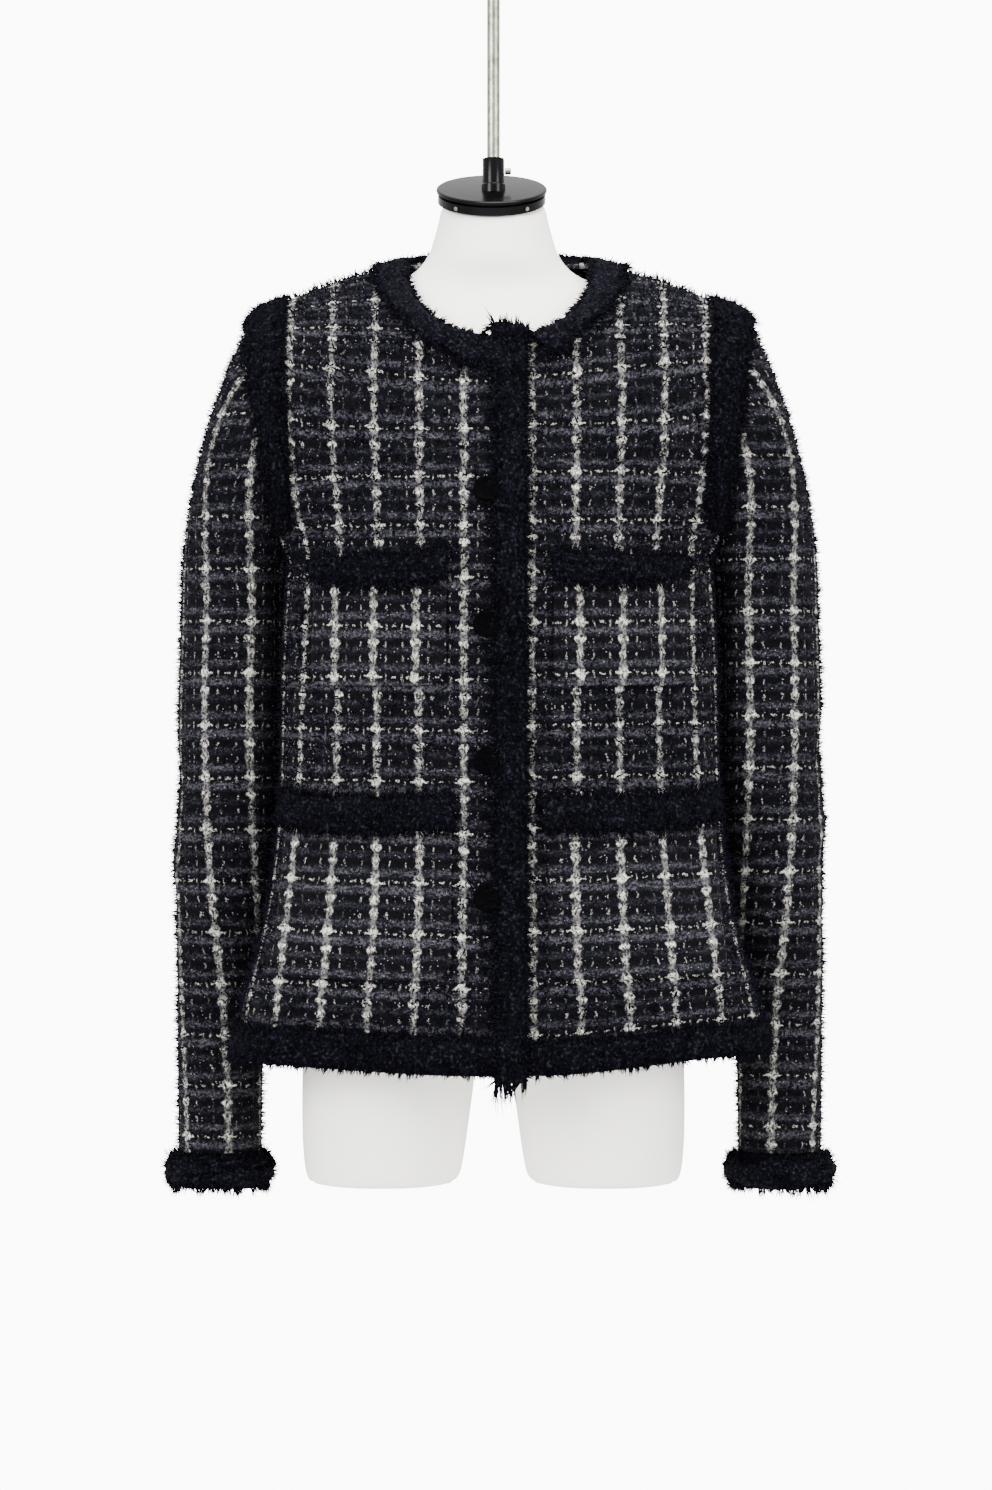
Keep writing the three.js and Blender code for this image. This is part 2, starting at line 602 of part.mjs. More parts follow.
function makePockets() {
  for (const [place, size] of Object.entries(POCKETS)) {
    const length = rowCurve(FRONT, size.top).total;
    const [from, to] = [size.from / length, size.to / length];
    const corner = size.corner / length;
    const columns = linesBetween([from, from + corner, to - corner, to], underGrid.columns);
    const levels = linesBetween([size.bottom, size.bottom + size.corner, size.top], underGrid.levels);
    const shape = ([column, level]) => {
      if (level > size.bottom) return [column, level];
      if (column !== from && column !== to) return [column, level];
      const inwards = column === from ? 1 : -1;
      return [column + inwards * CORNER_CUT * corner, level + CORNER_CUT * size.corner];
    };
    const mouth = [size.top - TRIM.pocket + POCKET_RISE, size.top + POCKET_RISE];
    const mouthLevels = linesBetween(ACROSS.map((share) => lerp(...mouth, share)), underGrid.levels);
    const mouthColumns = linesBetween([from, to], underGrid.columns);
    for (const [side, grid, turn] of [['left', underGrid, (g) => g], ['right', overGrid, mirrored]]) {
      const patch = onPanel(grid, columns, levels, LIFT, () => CLOTH, shape);
      piece(jacket, `pocket_${place}_${side}`, turn(patch), TWEED);
      const height = (_, level) => fringe((level - mouth[0]) / (mouth[1] - mouth[0]));
      const trim = onPanel(grid, mouthColumns, mouthLevels, 2 * LIFT + CLOTH, height);
      piece(jacket, `pocket_trim_${place}_${side}`, turn(trim), YARN);
    }
  }
}

// Fringe along the hem, in three lengths that meet at the side seams.
function makeHemTrims() {
  const length = rowCurve(FRONT, FRONT.hem).total;
  const low = FRONT.hem;
  const shares = (level, hem) => fringe((level - hem) / TRIM.hem);
  const front = (grid, start) => {
    const columns = [start / length, ...halfColumns.slice(start / length < halfColumns[1] ? 1 : 2)];
    const levels = linesBetween(ACROSS.map((share) => low + share * TRIM.hem), grid.levels);
    return onPanel(grid, columns, levels, LIFT, (_, level) => shares(level, low));
  };
  piece(jacket, 'hem_trim_left', front(underGrid, OVERLAP + LIFT), YARN);
  piece(jacket, 'hem_trim_right', mirrored(front(overGrid, TRIM.front - OVERLAP + LIFT)), YARN);
  const levels = ACROSS.map((share) => BACK.hem + share * TRIM.hem);
  const half = (offset) => levels.map((level) => {
    const line = halfColumns.map((column) => above(backGrid, column, level, offset(level)));
    const other = line.slice(1).map((point) => point.clone().multiply(vec(-1, 1, 1))).reverse();
    return [...other, ...line];
  });
  const trim = wall(half((level) => LIFT + shares(level, BACK.hem)), half(() => LIFT));
  piece(jacket, 'hem_trim_back', faceOutwards(trim), YARN);
}

// The fringe down the overlapping front's edge.
function makeFrontTrim() {
  const from = -OVERLAP / REACH;
  const to = (TRIM.front - OVERLAP) / rowCurve(FRONT, ARM_LEVEL).total;
  const columns = ACROSS.map((share) => lerp(from, to, share));
  const levels = linesBetween([FRONT.hem - FRONT_TAIL, FRONT.neck], overGrid.levels);
  const height = (column) => fringe((column - from) / (to - from));
  piece(jacket, 'front_trim', mirrored(onPanel(overGrid, columns, levels, LIFT, height)), YARN);
}

function makeNeckTrim() {
  const mirror = (point) => point.clone().multiply(vec(-1, 1, 1));
  const grids = { left: [underGrid, backGrid], right: [overGrid, backGrid].map(mirrorGrid) };
  const frontHalf = [20, 32, 46, 60, 74, 84, 90].map((angle) => neckline(FRONT, angle));
  const backHalf = [84, 74, 64, 54, 45, 34, 22, 0].map((angle) => neckline(BACK, angle));
  const overStart = neckline(FRONT, 4).setX(TRIM.front - OVERLAP + LIFT);
  const underEnd = neckline(FRONT, 16).setX(OVERLAP + 2 * LIFT);
  const line = [
    ...[overStart, ...frontHalf, ...backHalf].map(mirror),
    ...backHalf.slice(0, -1).reverse(),
    ...frontHalf.slice(1).reverse(),
    underEnd,
  ];
  const stations = line.map((point, i) => {
    const side = i <= frontHalf.length + backHalf.length ? grids.right : grids.left;
    const foot = footOn(side, point);
    const [before, after] = [line[Math.max(i - 1, 0)], line[Math.min(i + 1, line.length - 1)]];
    const across = foot.normal.clone().cross(after.clone().sub(before)).normalize();
    return { point: foot.point, across, grids: side };
  });
  piece(jacket, 'neck_trim', strip(stations, TRIM.neck, -NECK_OUT, NECK_GAP), YARN);
}

// Fringe along each armhole, on the body side, open at the underarm.
function makeArmholeTrims() {
  const rows = Math.round(ARMHOLE_END / ARM_STEP);
  const line = (grid, step, raised) => {
    const level = grid.levels[grid.levels.length - 1 - step];
    const length = rowCurve(grid.panel, level).total;
    return ACROSS.map((share) => {
      const column = 1 - (1 - share) * TRIM.armhole / length;
      return above(grid, column, level, ARMHOLE_GAP + (raised ? fringe(share) : 0));
    });
  };
  const make = (raised) => {
    const lines = [];
    for (let step = rows; step > 0; step -= 1) lines.push(line(underGrid, step, raised));
    const back = line(backGrid, 0, raised);
    lines.push(line(underGrid, 0, raised).map((point, i) => point.lerp(back[i], 0.5)));
    for (let step = 1; step <= rows; step += 1) lines.push(line(backGrid, step, raised));
    return lines;
  };
  const trim = faceOutwards(wall(make(true), make(false)));
  piece(jacket, 'armhole_trim_left', trim, YARN);
  piece(jacket, 'armhole_trim_right', mirrored(trim), YARN);
}

function makeCuffTrims() {
  const end = SLEEVE.at(-1);
  const low = end.height + CUFF.beyond - CUFF.wide;
  const shares = [0, 0.25, 0.75, 1];
  const ring = (share, out) => armGrid.degrees.map(
    (angle) => sleeveRing(end, angle, low + share * CUFF.wide, out),
  );
  const outer = shares.map((share) => ring(share, LIFT + fringe(share) * CUFF.thick / TRIM.thick));
  const inner = shares.map((share) => ring(share, LIFT));
  const trim = faceOutwards(wall(outer, inner, { wrap: true }));
  piece(jacket, 'cuff_trim_left', trim, YARN);
  piece(jacket, 'cuff_trim_right', mirrored(trim), YARN);
}

function makeButtons() {
  const column = BUTTONS.across / rowCurve(FRONT, ARM_LEVEL).total;
  for (let k = 0; k < BUTTONS.count; k += 1) {
    const level = BUTTONS.first - k * BUTTONS.pitch;
    const seat = above(overGrid, column, level, LIFT).multiply(vec(-1, 1, 1));
    const face = above(overGrid, column, level, LIFT + 1).multiply(vec(-1, 1, 1)).sub(seat);
    const profile = [
      [0, 0], [0.86, 0], [1, 0.25], [1, 0.6], [0.9, 0.85], [0.5, 1], [0, 1],
    ].map(([r, h]) => new THREE.Vector2(r * BUTTONS.radius, h * BUTTONS.thick));
    const geometry = new THREE.LatheGeometry(profile, BUTTONS.segments);
    const mesh = piece(jacket, `button_${k + 1}`, geometry, MATT_BLACK);
    mesh.quaternion.setFromUnitVectors(vec(0, 1, 0), face);
    mesh.position.copy(seat);
  }
}

// ---- the form and what it hangs from ----
function loft(rings) {
  const count = rings[0].length;
  const positions = rings.flat().flatMap((point) => point.toArray());
  const index = [];
  for (let j = 0; j < rings.length - 1; j += 1) {
    for (let i = 0; i < count; i += 1) {
      const next = (i + 1) % count;
      const [a, b, c, d] = [j * count + i, j * count + next, (j + 1) * count + next, (j + 1) * count + i];
      index.push(a, b, c, a, c, d);
    }
  }
  for (const [j, flip] of [[0, true], [rings.length - 1, false]]) {
    for (let i = 1; i < count - 1; i += 1) {
      const [a, b, c] = [j * count, j * count + i, j * count + i + 1];
      index.push(...(flip ? [a, c, b] : [a, b, c]));
    }
  }
  const geometry = new THREE.BufferGeometry();
  geometry.setAttribute('position', new THREE.Float32BufferAttribute(positions, 3));
  geometry.setIndex(index);
  return faceOutwards(geometry);
}

function ovalRing(row, count, x = 0) {
  const flat = 2 / (row.power ?? 2.1);
  return Array.from({ length: count }, (_, i) => {
    const angle = 2 * Math.PI * i / count;
    const s = power(Math.sin(angle), flat);
    const middle = (row.front + row.back) / 2;
    const y = middle + s * (row.back - row.front) / 2;
    return vec(x + row.half * power(Math.cos(angle), flat), y, row.height + (row.tilt ?? 0) * (y - middle));
  });
}

function makeForm() {
  const torso = loft(FORM.map((row) => ovalRing(row, 32)));
  let body = toSolid(torso);
  for (const side of [-1, 1]) {
    body = body.add(toSolid(loft(THIGH.map((row) => ovalRing(row, 24, side * row.x)))));
  }
  piece(form, 'dress_form', fromSolid(body), SHELL);
}

function makeNeckCap() {
  const group = new THREE.Group();
  group.position.set(CAP.x, 1, CAP.z);
  group.rotation.x = rad(CAP.tilt);
  form.add(group);
  const low = -CAP.disc - CAP.groove - CAP.band;
  const profile = [
    [0, low], [CAP.radius - CAP.inset, low], [CAP.radius - CAP.inset, -CAP.disc - CAP.groove],
    [CAP.radius - 3 * CAP.inset, -CAP.disc - CAP.groove], [CAP.radius - 3 * CAP.inset, -CAP.disc],
    [CAP.radius - 0.6, -CAP.disc], [CAP.radius, -CAP.disc + 0.6], [CAP.radius, -0.8], [CAP.radius - 0.8, 0], [0, 0],
  ].map(([r, h]) => new THREE.Vector2(r, h));
  const cap = piece(group, 'neck_cap', new THREE.LatheGeometry(profile, 32), GLOSS_BLACK);
  cap.rotation.x = Math.PI / 2;
  SCREW.angles.forEach((angle, k) => {
    const geometry = new THREE.CylinderGeometry(SCREW.radius, SCREW.radius, SCREW.thick, 16);
    geometry.rotateZ(Math.PI / 2);
    const screw = piece(group, `cap_screw_${k + 1}`, geometry, STEEL);
    const reach = CAP.radius - CAP.inset + SCREW.thick / 2 + FIT;
    screw.position.set(reach * Math.cos(rad(angle)), reach * Math.sin(rad(angle)), low + CAP.band / 2);
    screw.rotation.z = rad(angle);
  });
}

// The collar's foot follows the slope of the cap, and the rod stands in its bore.
function makeCollarAndRod() {
  const slope = Math.tan(rad(CAP.tilt));
  const levels = [1, 0.94, 0.15, 0];
  const ring = (radius, share) => Array.from({ length: 32 }, (_, i) => {
    const angle = 2 * Math.PI * i / 32;
    const y = radius * Math.sin(angle);
    const foot = CAP.z + 0.5 + (y - 1) * slope;
    return vec(radius * Math.cos(angle), y, lerp(foot, COLLAR.top, share));
  });
  const radii = [COLLAR.radius - 1, COLLAR.radius, COLLAR.radius, COLLAR.radius + 0.8];
  const outer = levels.map((share, k) => ring(radii[k], share));
  const inner = levels.map((share) => ring(COLLAR.bore, share));
  piece(form, 'collar', faceOutwards(wall(outer, inner, { wrap: true })), GLOSS_BLACK);
  const rod = new THREE.CylinderGeometry(ROD.radius, ROD.radius, -ROD.end, 32);
  rod.rotateX(Math.PI / 2);
  piece(form, 'rod', rod, STEEL).position.z = ROD.end / 2;
  const thumb = new THREE.CylinderGeometry(THUMB.radius, THUMB.radius, THUMB.length, 20);
  thumb.rotateZ(Math.PI / 2);
  const screw = piece(form, 'collar_screw', thumb, STEEL);
  screw.position.set(COLLAR.radius + FIT + THUMB.length / 2, 0, THUMB.height);
}

makeBack();
makeFronts();
makeSleeves();
makePockets();
makeHemTrims();
makeFrontTrim();
makeNeckTrim();
makeArmholeTrims();
makeCuffTrims();
makeButtons();
makeForm();
makeNeckCap();
makeCollarAndRod();

const dressed = new THREE.Group();
dressed.add(jacket, form);
export default dressed;
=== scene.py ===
# %% [markdown]
# # A fringed tweed jacket on a hanging dress form
# The frame is the CAD model: every cloth panel, trim and fitting stands there as a plain
# solid of the right size. This lesson swaps each solid for a finished piece in the same
# place, so nothing has to be fitted afterwards. Blender works in metres, and the cutting
# tables below are in millimetres, as a pattern cutter writes them.

import bmesh
import bpy
import numpy as np
from mathutils import Matrix, Vector
from mathutils.bvhtree import BVHTree


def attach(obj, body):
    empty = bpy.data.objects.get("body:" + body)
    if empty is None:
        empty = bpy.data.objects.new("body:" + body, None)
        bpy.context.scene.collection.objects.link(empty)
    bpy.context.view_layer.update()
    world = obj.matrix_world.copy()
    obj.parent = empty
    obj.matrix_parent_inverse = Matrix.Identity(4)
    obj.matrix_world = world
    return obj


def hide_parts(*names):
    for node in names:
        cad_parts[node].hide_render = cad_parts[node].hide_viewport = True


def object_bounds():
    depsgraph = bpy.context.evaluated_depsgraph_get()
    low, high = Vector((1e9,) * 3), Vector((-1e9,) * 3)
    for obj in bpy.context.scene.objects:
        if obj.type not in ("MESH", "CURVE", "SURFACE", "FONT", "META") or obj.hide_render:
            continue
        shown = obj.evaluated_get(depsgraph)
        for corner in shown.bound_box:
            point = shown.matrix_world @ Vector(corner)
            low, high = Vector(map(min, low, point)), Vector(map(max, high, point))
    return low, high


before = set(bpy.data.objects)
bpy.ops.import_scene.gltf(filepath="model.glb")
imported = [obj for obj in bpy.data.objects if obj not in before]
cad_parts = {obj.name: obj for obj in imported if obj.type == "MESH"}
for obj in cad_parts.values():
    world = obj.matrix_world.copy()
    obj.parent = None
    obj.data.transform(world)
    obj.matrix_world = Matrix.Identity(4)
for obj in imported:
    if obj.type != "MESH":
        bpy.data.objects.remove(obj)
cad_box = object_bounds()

MM = 0.001
WELD = 1e-6     # points nearer than this, in metres, become one
JACKET_X = 5.0  # the jacket hangs this far off the rod's axis
print("CAD box", [round(v, 4) for corner in cad_box for v in corner])

# %% [markdown]
# ## The cut of the body
# A jacket's body is three panels: two fronts and a back. Each half panel is a stack of rows
# that start on the centre line (or the neckline above it) and end on the side seam or the
# armhole. A short table says how each row leaves its start and arrives at its end, and a
# Hermite curve draws the row between them. The same tables cut the CAD solids.

# %% Cutting tables
ARM_LEVEL = -456.0
HEM_SIDE = -834.0
SHOULDER = np.array([190.0, 4.0, -254.0])
UNDERARM_X, ARM_DEPTH = 166.0, 62.0
NECK_HALF, NECK_Y, NECK_Z, NECK_POWER = 72.0, 4.0, -216.0, 2.3
OVERLAP, REACH = 20.0, 240.0    # past the centre line, and the length a share of -1 stands for
OVER_RISE, OVER_FADE = 3.4, (24.0, 80.0)    # how the right front stands proud of the left one

# level, depth, turn, pull, fill, crown
FRONT = dict(side=-1, hem=-838.0, neck=-281.0, top=-156.0, drop=65.0, inset=84.0, rows=np.array([
    (-838, 139, 130, 1.25, 2.30, 0),
    (-790, 136, 125, 1.25, 2.25, 0),
    (-730, 132, 117, 1.25, 1.90, 0),
    (-670, 128, 112, 1.20, 1.65, 0),
    (-600, 125, 108, 1.20, 1.50, 0),
    (-530, 127, 106, 1.20, 1.40, 0),
    (-456, 130, 96, 1.20, 1.25, 0),
    (-400, 121, 72, 1.15, 1.10, 0),
    (-345, 104, 48, 1.10, 1.00, 0),
    (-281, 80, 28, 1.00, 1.00, 2),
    (-219, 50, 12, 1.00, 1.00, 11),
    (-156, 0, 0, 1.00, 1.00, 4.5),
]))
BACK = dict(side=1, hem=-842.0, neck=-204.0, top=-150.0, drop=-12.0, inset=58.0, rows=np.array([
    (-842, 128, 128, 1.25, 2.10, 0),
    (-790, 123, 124, 1.25, 2.00, 0),
    (-730, 116, 115, 1.25, 1.90, 0),
    (-670, 106, 102, 1.20, 1.50, 0),
    (-600, 98, 92, 1.20, 1.30, 0),
    (-530, 101, 90, 1.20, 1.25, 0),
    (-456, 108, 88, 1.20, 1.20, 0),
    (-400, 109, 70, 1.15, 1.15, 0),
    (-345, 104, 48, 1.10, 1.00, 0),
    (-280, 90, 30, 1.00, 1.00, 2),
    (-204, 62, 14, 1.00, 1.00, 6),
    (-150, 0, 0, 1.00, 1.00, 4.5),
]))
DEPTH, TURN, PULL, FILL, CROWN = range(1, 6)
SIDE_SEAM = np.array([  # height, x, y
    (-834, 168, 20), (-760, 166, 16), (-680, 164, 11),
    (-600, 164, 7), (-520, 165, 5), (-456, 166, 4),
], float)
SLEEVE = np.array([  # height, outer, inner, front, back
    (-908, 250, 190, -8, 60),
    (-800, 250.5, 187, -14, 62),
    (-690, 250, 173, -34, 68),
    (-580, 249, 168, -48, 66),
    (-478, 246, 168.5, -52, 64),
])
SLEEVE_POWER = 0.92


# %% Reading a table smoothly
def hermite(a, slope_a, b, slope_b, t):
    """The cubic from a to b that leaves with slope_a and arrives with slope_b."""
    t2, t3 = t * t, t * t * t
    return (a * (2 * t3 - 3 * t2 + 1) + slope_a * (t3 - 2 * t2 + t)
            + b * (3 * t2 - 2 * t3) + slope_b * (t3 - t2))


def smooth(x, low, high):
    t = np.clip((x - low) / (high - low), 0, 1)
    return t * t * (3 - 2 * t)


def unit(vectors):
    return vectors / np.maximum(np.linalg.norm(vectors, axis=-1, keepdims=True), 1e-9)


def read(table, at, column):
    """The smooth value of one column at any value of the first column."""
    keys, values = table[:, 0], table[:, column]
    slopes = np.gradient(values, keys)
    slopes[1:-1] = (values[2:] - values[:-2]) / (keys[2:] - keys[:-2])
    at = np.clip(at, keys[0], keys[-1])
    i = np.clip(np.searchsorted(keys, at, side="right") - 1, 0, len(keys) - 2)
    span = keys[i + 1] - keys[i]
    t = (at - keys[i]) / span
    return hermite(values[i], slopes[i] * span, values[i + 1], slopes[i + 1] * span, t)


# %% Necklines, armholes and rows
def neckline(panel, degrees):
    angle = np.radians(np.asarray(degrees, float))
    s = np.sin(angle) ** (2 / NECK_POWER)
    c = np.maximum(np.cos(angle), 0) ** (2 / NECK_POWER)
    return np.stack([NECK_HALF * s, NECK_Y + panel["side"] * panel["inset"] * c,
                     NECK_Z - panel["drop"] * c], -1)


def armhole(degrees, side):
    """0 degrees is the shoulder tip and 180 the underarm; the front is side -1."""
    angle = np.radians(degrees)
    half = (SHOULDER[2] - ARM_LEVEL) / 2
    z = ARM_LEVEL + half * (1 + np.cos(angle))
    fall = ((SHOULDER[2] - z) / (2 * half)) ** 1.8
    x = SHOULDER[0] + (UNDERARM_X - SHOULDER[0]) * fall
    return np.stack([x, SHOULDER[1] + side * ARM_DEPTH * np.sin(angle), z], -1)


def row_ends(panel, level):
    if level > panel["neck"]:
        start = neckline(panel, 90 * (level - panel["neck"]) / (panel["top"] - panel["neck"]))
    else:
        start = np.array([0, panel["side"] * read(panel["rows"], level, DEPTH), level])
    if level > ARM_LEVEL:
        turn = 180 * (panel["top"] - level) / (panel["top"] - ARM_LEVEL)
        return start, armhole(turn, panel["side"])
    fall = (level - ARM_LEVEL) / (panel["hem"] - ARM_LEVEL)
    z = ARM_LEVEL + fall * (HEM_SIDE - ARM_LEVEL)
    return start, np.array([read(SIDE_SEAM, z, 1), read(SIDE_SEAM, z, 2), z])


def row(panel, level, shares, over=False):
    """Points along one row, at even shares of its length; below 0 it runs past the centre."""
    start, end = row_ends(panel, level)
    chord = np.hypot(end[0] - start[0], end[1] - start[1])
    turn = np.radians(read(panel["rows"], level, TURN))
    pull = chord * read(panel["rows"], level, PULL)
    fill = chord * read(panel["rows"], level, FILL)
    crown = read(panel["rows"], level, CROWN)

    def at(t):
        x = hermite(start[0], pull, end[0], fill * np.cos(turn), t)
        y = hermite(start[1], 0, end[1], -panel["side"] * fill * np.sin(turn), t)
        z = start[2] + (end[2] - start[2]) * t + crown * 4 * t * (1 - t)
        return np.stack([x, y, z], -1)

    fine = np.linspace(0, 1, 81)
    steps = np.linalg.norm(np.diff(at(fine), axis=0), axis=1)
    lengths = np.concatenate([[0], np.cumsum(steps)])
    along = np.where(shares < 0, -shares * REACH, shares * lengths[-1])
    points = at(np.interp(along, lengths, fine))
    points[:, 0] *= np.where(shares < 0, -1, 1)
    if over:
        points[:, 1] -= OVER_RISE * (1 - smooth(along, *OVER_FADE))
    return points, lengths[-1]


print("front hem is", round(row(FRONT, FRONT["hem"], np.array([0.0]))[1]), "mm from centre to side")

# %% [markdown]
# ## Creases
# Tweed is thick and springy, so it doesn't crumple: it bends in a few long soft troughs and
# ridges. Each is given as a line on the panel, from one point to another, with a
# width and a depth, and moves the cloth along its normal with a soft bell profile. They are
# uneven in length and depth, because a real jacket never hangs the same on both sides.


# %% Soft troughs and ridges
def creased(points, normals, across, down, lines):
    """Moves a grid by its creases. Each line: across0, down0, across1, down1, width, height."""
    lift = np.zeros(across.shape)
    for a0, d0, a1, d1, width, height in lines:
        run = np.array([a1 - a0, d1 - d0])
        length = np.hypot(*run)
        run = run / length
        along = (across - a0) * run[0] + (down - d0) * run[1]
        aside = -(across - a0) * run[1] + (down - d0) * run[0]
        fade = smooth(along, -0.35 * length, 0.3 * length)
        fade = fade * (1 - smooth(along, 0.7 * length, 1.35 * length))
        lift += height * fade * np.exp(-(aside / width) ** 2)
    return points + normals * lift[..., None]


def grid_normals(points, outwards):
    """Unit normals of a grid of points; outwards is 1 or -1 by the way its rows run."""
    normals = np.cross(np.gradient(points, axis=1), np.gradient(points, axis=0)) * outwards
    return unit(normals)

# %% [markdown]
# ## Laying the weave
# Each panel carries a UV map in metres of real cloth, so the weave keeps its size. The warp
# runs down and the weft across, so a step over the grid is split into its level part and its
# sloping part, and these add up from the centre line outwards. The sleeves are measured
# another way, further on, because their heads curve both ways at once.


# %% Cloth coordinates
def cloth_map(points, normals, outwards, centre_column, origin_row):
    """Distances across and down the cloth, in mm, from one column and one row."""
    # On the shoulder the cloth lies nearly level, where the weft keeps to the panel's width.
    lying = smooth(abs(normals[..., 2:]), 0.55, 0.85)
    level = unit(np.cross([0, 0, 1], normals)) * (1 - lying) + np.array([outwards, 0, 0]) * lying
    level = unit(level - (level * normals).sum(-1, keepdims=True) * normals)
    slope = np.cross(normals, level)
    across_steps, up_steps = np.diff(points, axis=1), np.diff(points, axis=0)

    def steps(direction):
        sideways = (across_steps * (direction[:, 1:] + direction[:, :-1]) / 2).sum(-1)
        upwards = (up_steps * (direction[1:] + direction[:-1]) / 2).sum(-1)
        first = np.concatenate([[0], np.cumsum(upwards[:, centre_column])])
        first = first - first[origin_row]
        runs = np.concatenate([np.zeros((len(points), 1)), np.cumsum(sideways, axis=1)], axis=1)
        return first[:, None] + runs - runs[:, centre_column:centre_column + 1]

    return steps(level), -steps(slope)


# %% A grid becomes a mesh
def mesh_from_grid(name, points, cloth=None, keep=None, weld=False, flip=False):
    """One mesh from a grid of points in mm, with its weave map in metres of cloth."""
    rows, columns = points.shape[:2]
    shape = bmesh.new()
    bmesh.ops.create_grid(shape, x_segments=columns - 1, y_segments=rows - 1, size=0.5)
    mesh = bpy.data.meshes.new(name)
    shape.to_mesh(mesh)
    shape.free()
    flat = np.empty(len(mesh.vertices) * 3, np.float32)
    mesh.vertices.foreach_get("co", flat)
    flat = flat.reshape(-1, 3)
    i = np.rint((flat[:, 0] + 0.5) * (columns - 1)).astype(int)
    j = np.rint((flat[:, 1] + 0.5) * (rows - 1)).astype(int)
    place = (points[j, i] + np.array([JACKET_X, 0, 0])) * MM
    mesh.vertices.foreach_set("co", place.astype(np.float32).ravel())
    if cloth is not None:
        corner = np.empty(len(mesh.loops), np.int32)
        mesh.loops.foreach_get("vertex_index", corner)
        layer = mesh.uv_layers.new(name="weave")
        uv = np.stack([cloth[0][j, i], cloth[1][j, i]], -1)[corner] * MM
        layer.data.foreach_set("uv", uv.astype(np.float32).ravel())
    shape = bmesh.new()
    shape.from_mesh(mesh)
    if keep is not None:
        shape.faces.ensure_lookup_table()
        shape.verts.ensure_lookup_table()
        out = [f for f in shape.faces if not keep[min(j[v.index] for v in f.verts),
                                                  min(i[v.index] for v in f.verts)]]
        bmesh.ops.delete(shape, geom=out, context="FACES")
    if weld:
        bmesh.ops.remove_doubles(shape, verts=shape.verts, dist=WELD)
    if flip:
        bmesh.ops.reverse_faces(shape, faces=shape.faces)
    for face in shape.faces:
        face.smooth = True
    shape.to_mesh(mesh)
    shape.free()
    return mesh


def piece(name, mesh, material, slot, *nodes):
    """A finished object that rides with the frame and stands for its CAD nodes."""
    thing = bpy.data.objects.new(name, mesh)
    bpy.context.scene.collection.objects.link(thing)
    mesh.materials.append(material)
    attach(thing, "root")
    if nodes:
        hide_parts(*nodes)
    return thing


# %% [markdown]
# ## Colours and nodes
# Colours are written as sRGB hex values, which is how a swatch is read, and Blender's
# shaders want linear light, so one function turns one into the other. A second adds a node
# with its settings and links. A finish is a new material with a short name for each kind of
# node that several of them use.


# %% Helpers for materials
def colour(code):
    channels = [int(code[i:i + 2], 16) / 255 for i in (1, 3, 5)]
    linear = [c / 12.92 if c <= 0.04045 else ((c + 0.055) / 1.055) ** 2.4 for c in channels]
    return (*linear, 1.0)


def add(tree, kind, inputs=(), **settings):
    """Adds a node. An input is a value, a socket, or a node, whose first output is taken."""
    node = tree.nodes.new(kind)
    for key, value in settings.items():
        setattr(node, key, value)
    for key, value in dict(inputs if isinstance(inputs, dict) else enumerate(inputs)).items():
        if isinstance(value, bpy.types.Node):
            value = value.outputs[0]
        if isinstance(value, bpy.types.NodeSocket):
            tree.links.new(value, node.inputs[key])
        else:
            node.inputs[key].default_value = value
    return node


class Finish:
    """A new material and the nodes that its kind of finish is made of."""

    def __init__(self, name):
        self.material = bpy.data.materials.new(name)
        self.material.use_nodes = True
        self.tree = self.material.node_tree
        self.tree.nodes.clear()

    def maths(self, operation, *inputs, clamp=False):
        return add(self.tree, "ShaderNodeMath", inputs, operation=operation, use_clamp=clamp)

    def vector(self, operation, *inputs):
        return add(self.tree, "ShaderNodeVectorMath", inputs, operation=operation)

    def noise(self, vector, scale, detail, roughness=0.5):
        return add(self.tree, "ShaderNodeTexNoise", {"Vector": vector, "Scale": scale,
                                                     "Detail": detail, "Roughness": roughness})

    def ranged(self, value, *limits, curve="LINEAR"):
        """Stretches a value from a low and a high to another low and high."""
        return add(self.tree, "ShaderNodeMapRange", (value, *limits), interpolation_type=curve)

    def ramp(self, fac, stops, interpolation="LINEAR"):
        """A ramp from a table of position and a hex colour, or up to three values."""
        node = add(self.tree, "ShaderNodeValToRGB", {"Fac": fac})
        node.color_ramp.interpolation = interpolation
        elements = node.color_ramp.elements
        while len(elements) > 1:
            elements.remove(elements[0])
        for k, (position, *values) in enumerate(stops):
            element = elements[0] if k == 0 else elements.new(position)
            element.position = position
            if isinstance(values[0], str):
                values = colour(values[0])[:3]
            element.color = (*values, *[0.0] * (3 - len(values)), 1.0)
        return node

    def channels(self, source):
        return add(self.tree, "ShaderNodeSeparateColor", (source,)).outputs

    def over(self, share, under, code):
        """A hex colour laid over another colour by a share."""
        return add(self.tree, "ShaderNodeMix", {0: share, 6: under, 7: colour(code)},
                   data_type="RGBA").outputs[2]

    def made(self, height, strength, distance, **sockets):
        """Ends the material: its relief, and its shader's own values."""
        bump = add(self.tree, "ShaderNodeBump", {"Strength": strength, "Distance": distance,
                                                 "Height": height})
        values = {name.replace("_", " "): value for name, value in sockets.items()}
        skin = add(self.tree, "ShaderNodeBsdfPrincipled", {**values, "Normal": bump})
        add(self.tree, "ShaderNodeOutputMaterial", (skin,))
        return self.material


# %% [markdown]
# ## Tweed
# This bouclé tweed has a near-black ground, soft grey weft bands, and columns of white
# chenille warp that loop up into knots. The knots repeat every 34 mm across and 38.6 mm
# down. Each knot row also carries thin white weft dashes. All of it is drawn from the UV
# map, in millimetres of cloth: two ramps hold how wide, how bright and how grey the cloth is
# at each point down one repeat, and noise makes every thread a little wrong.

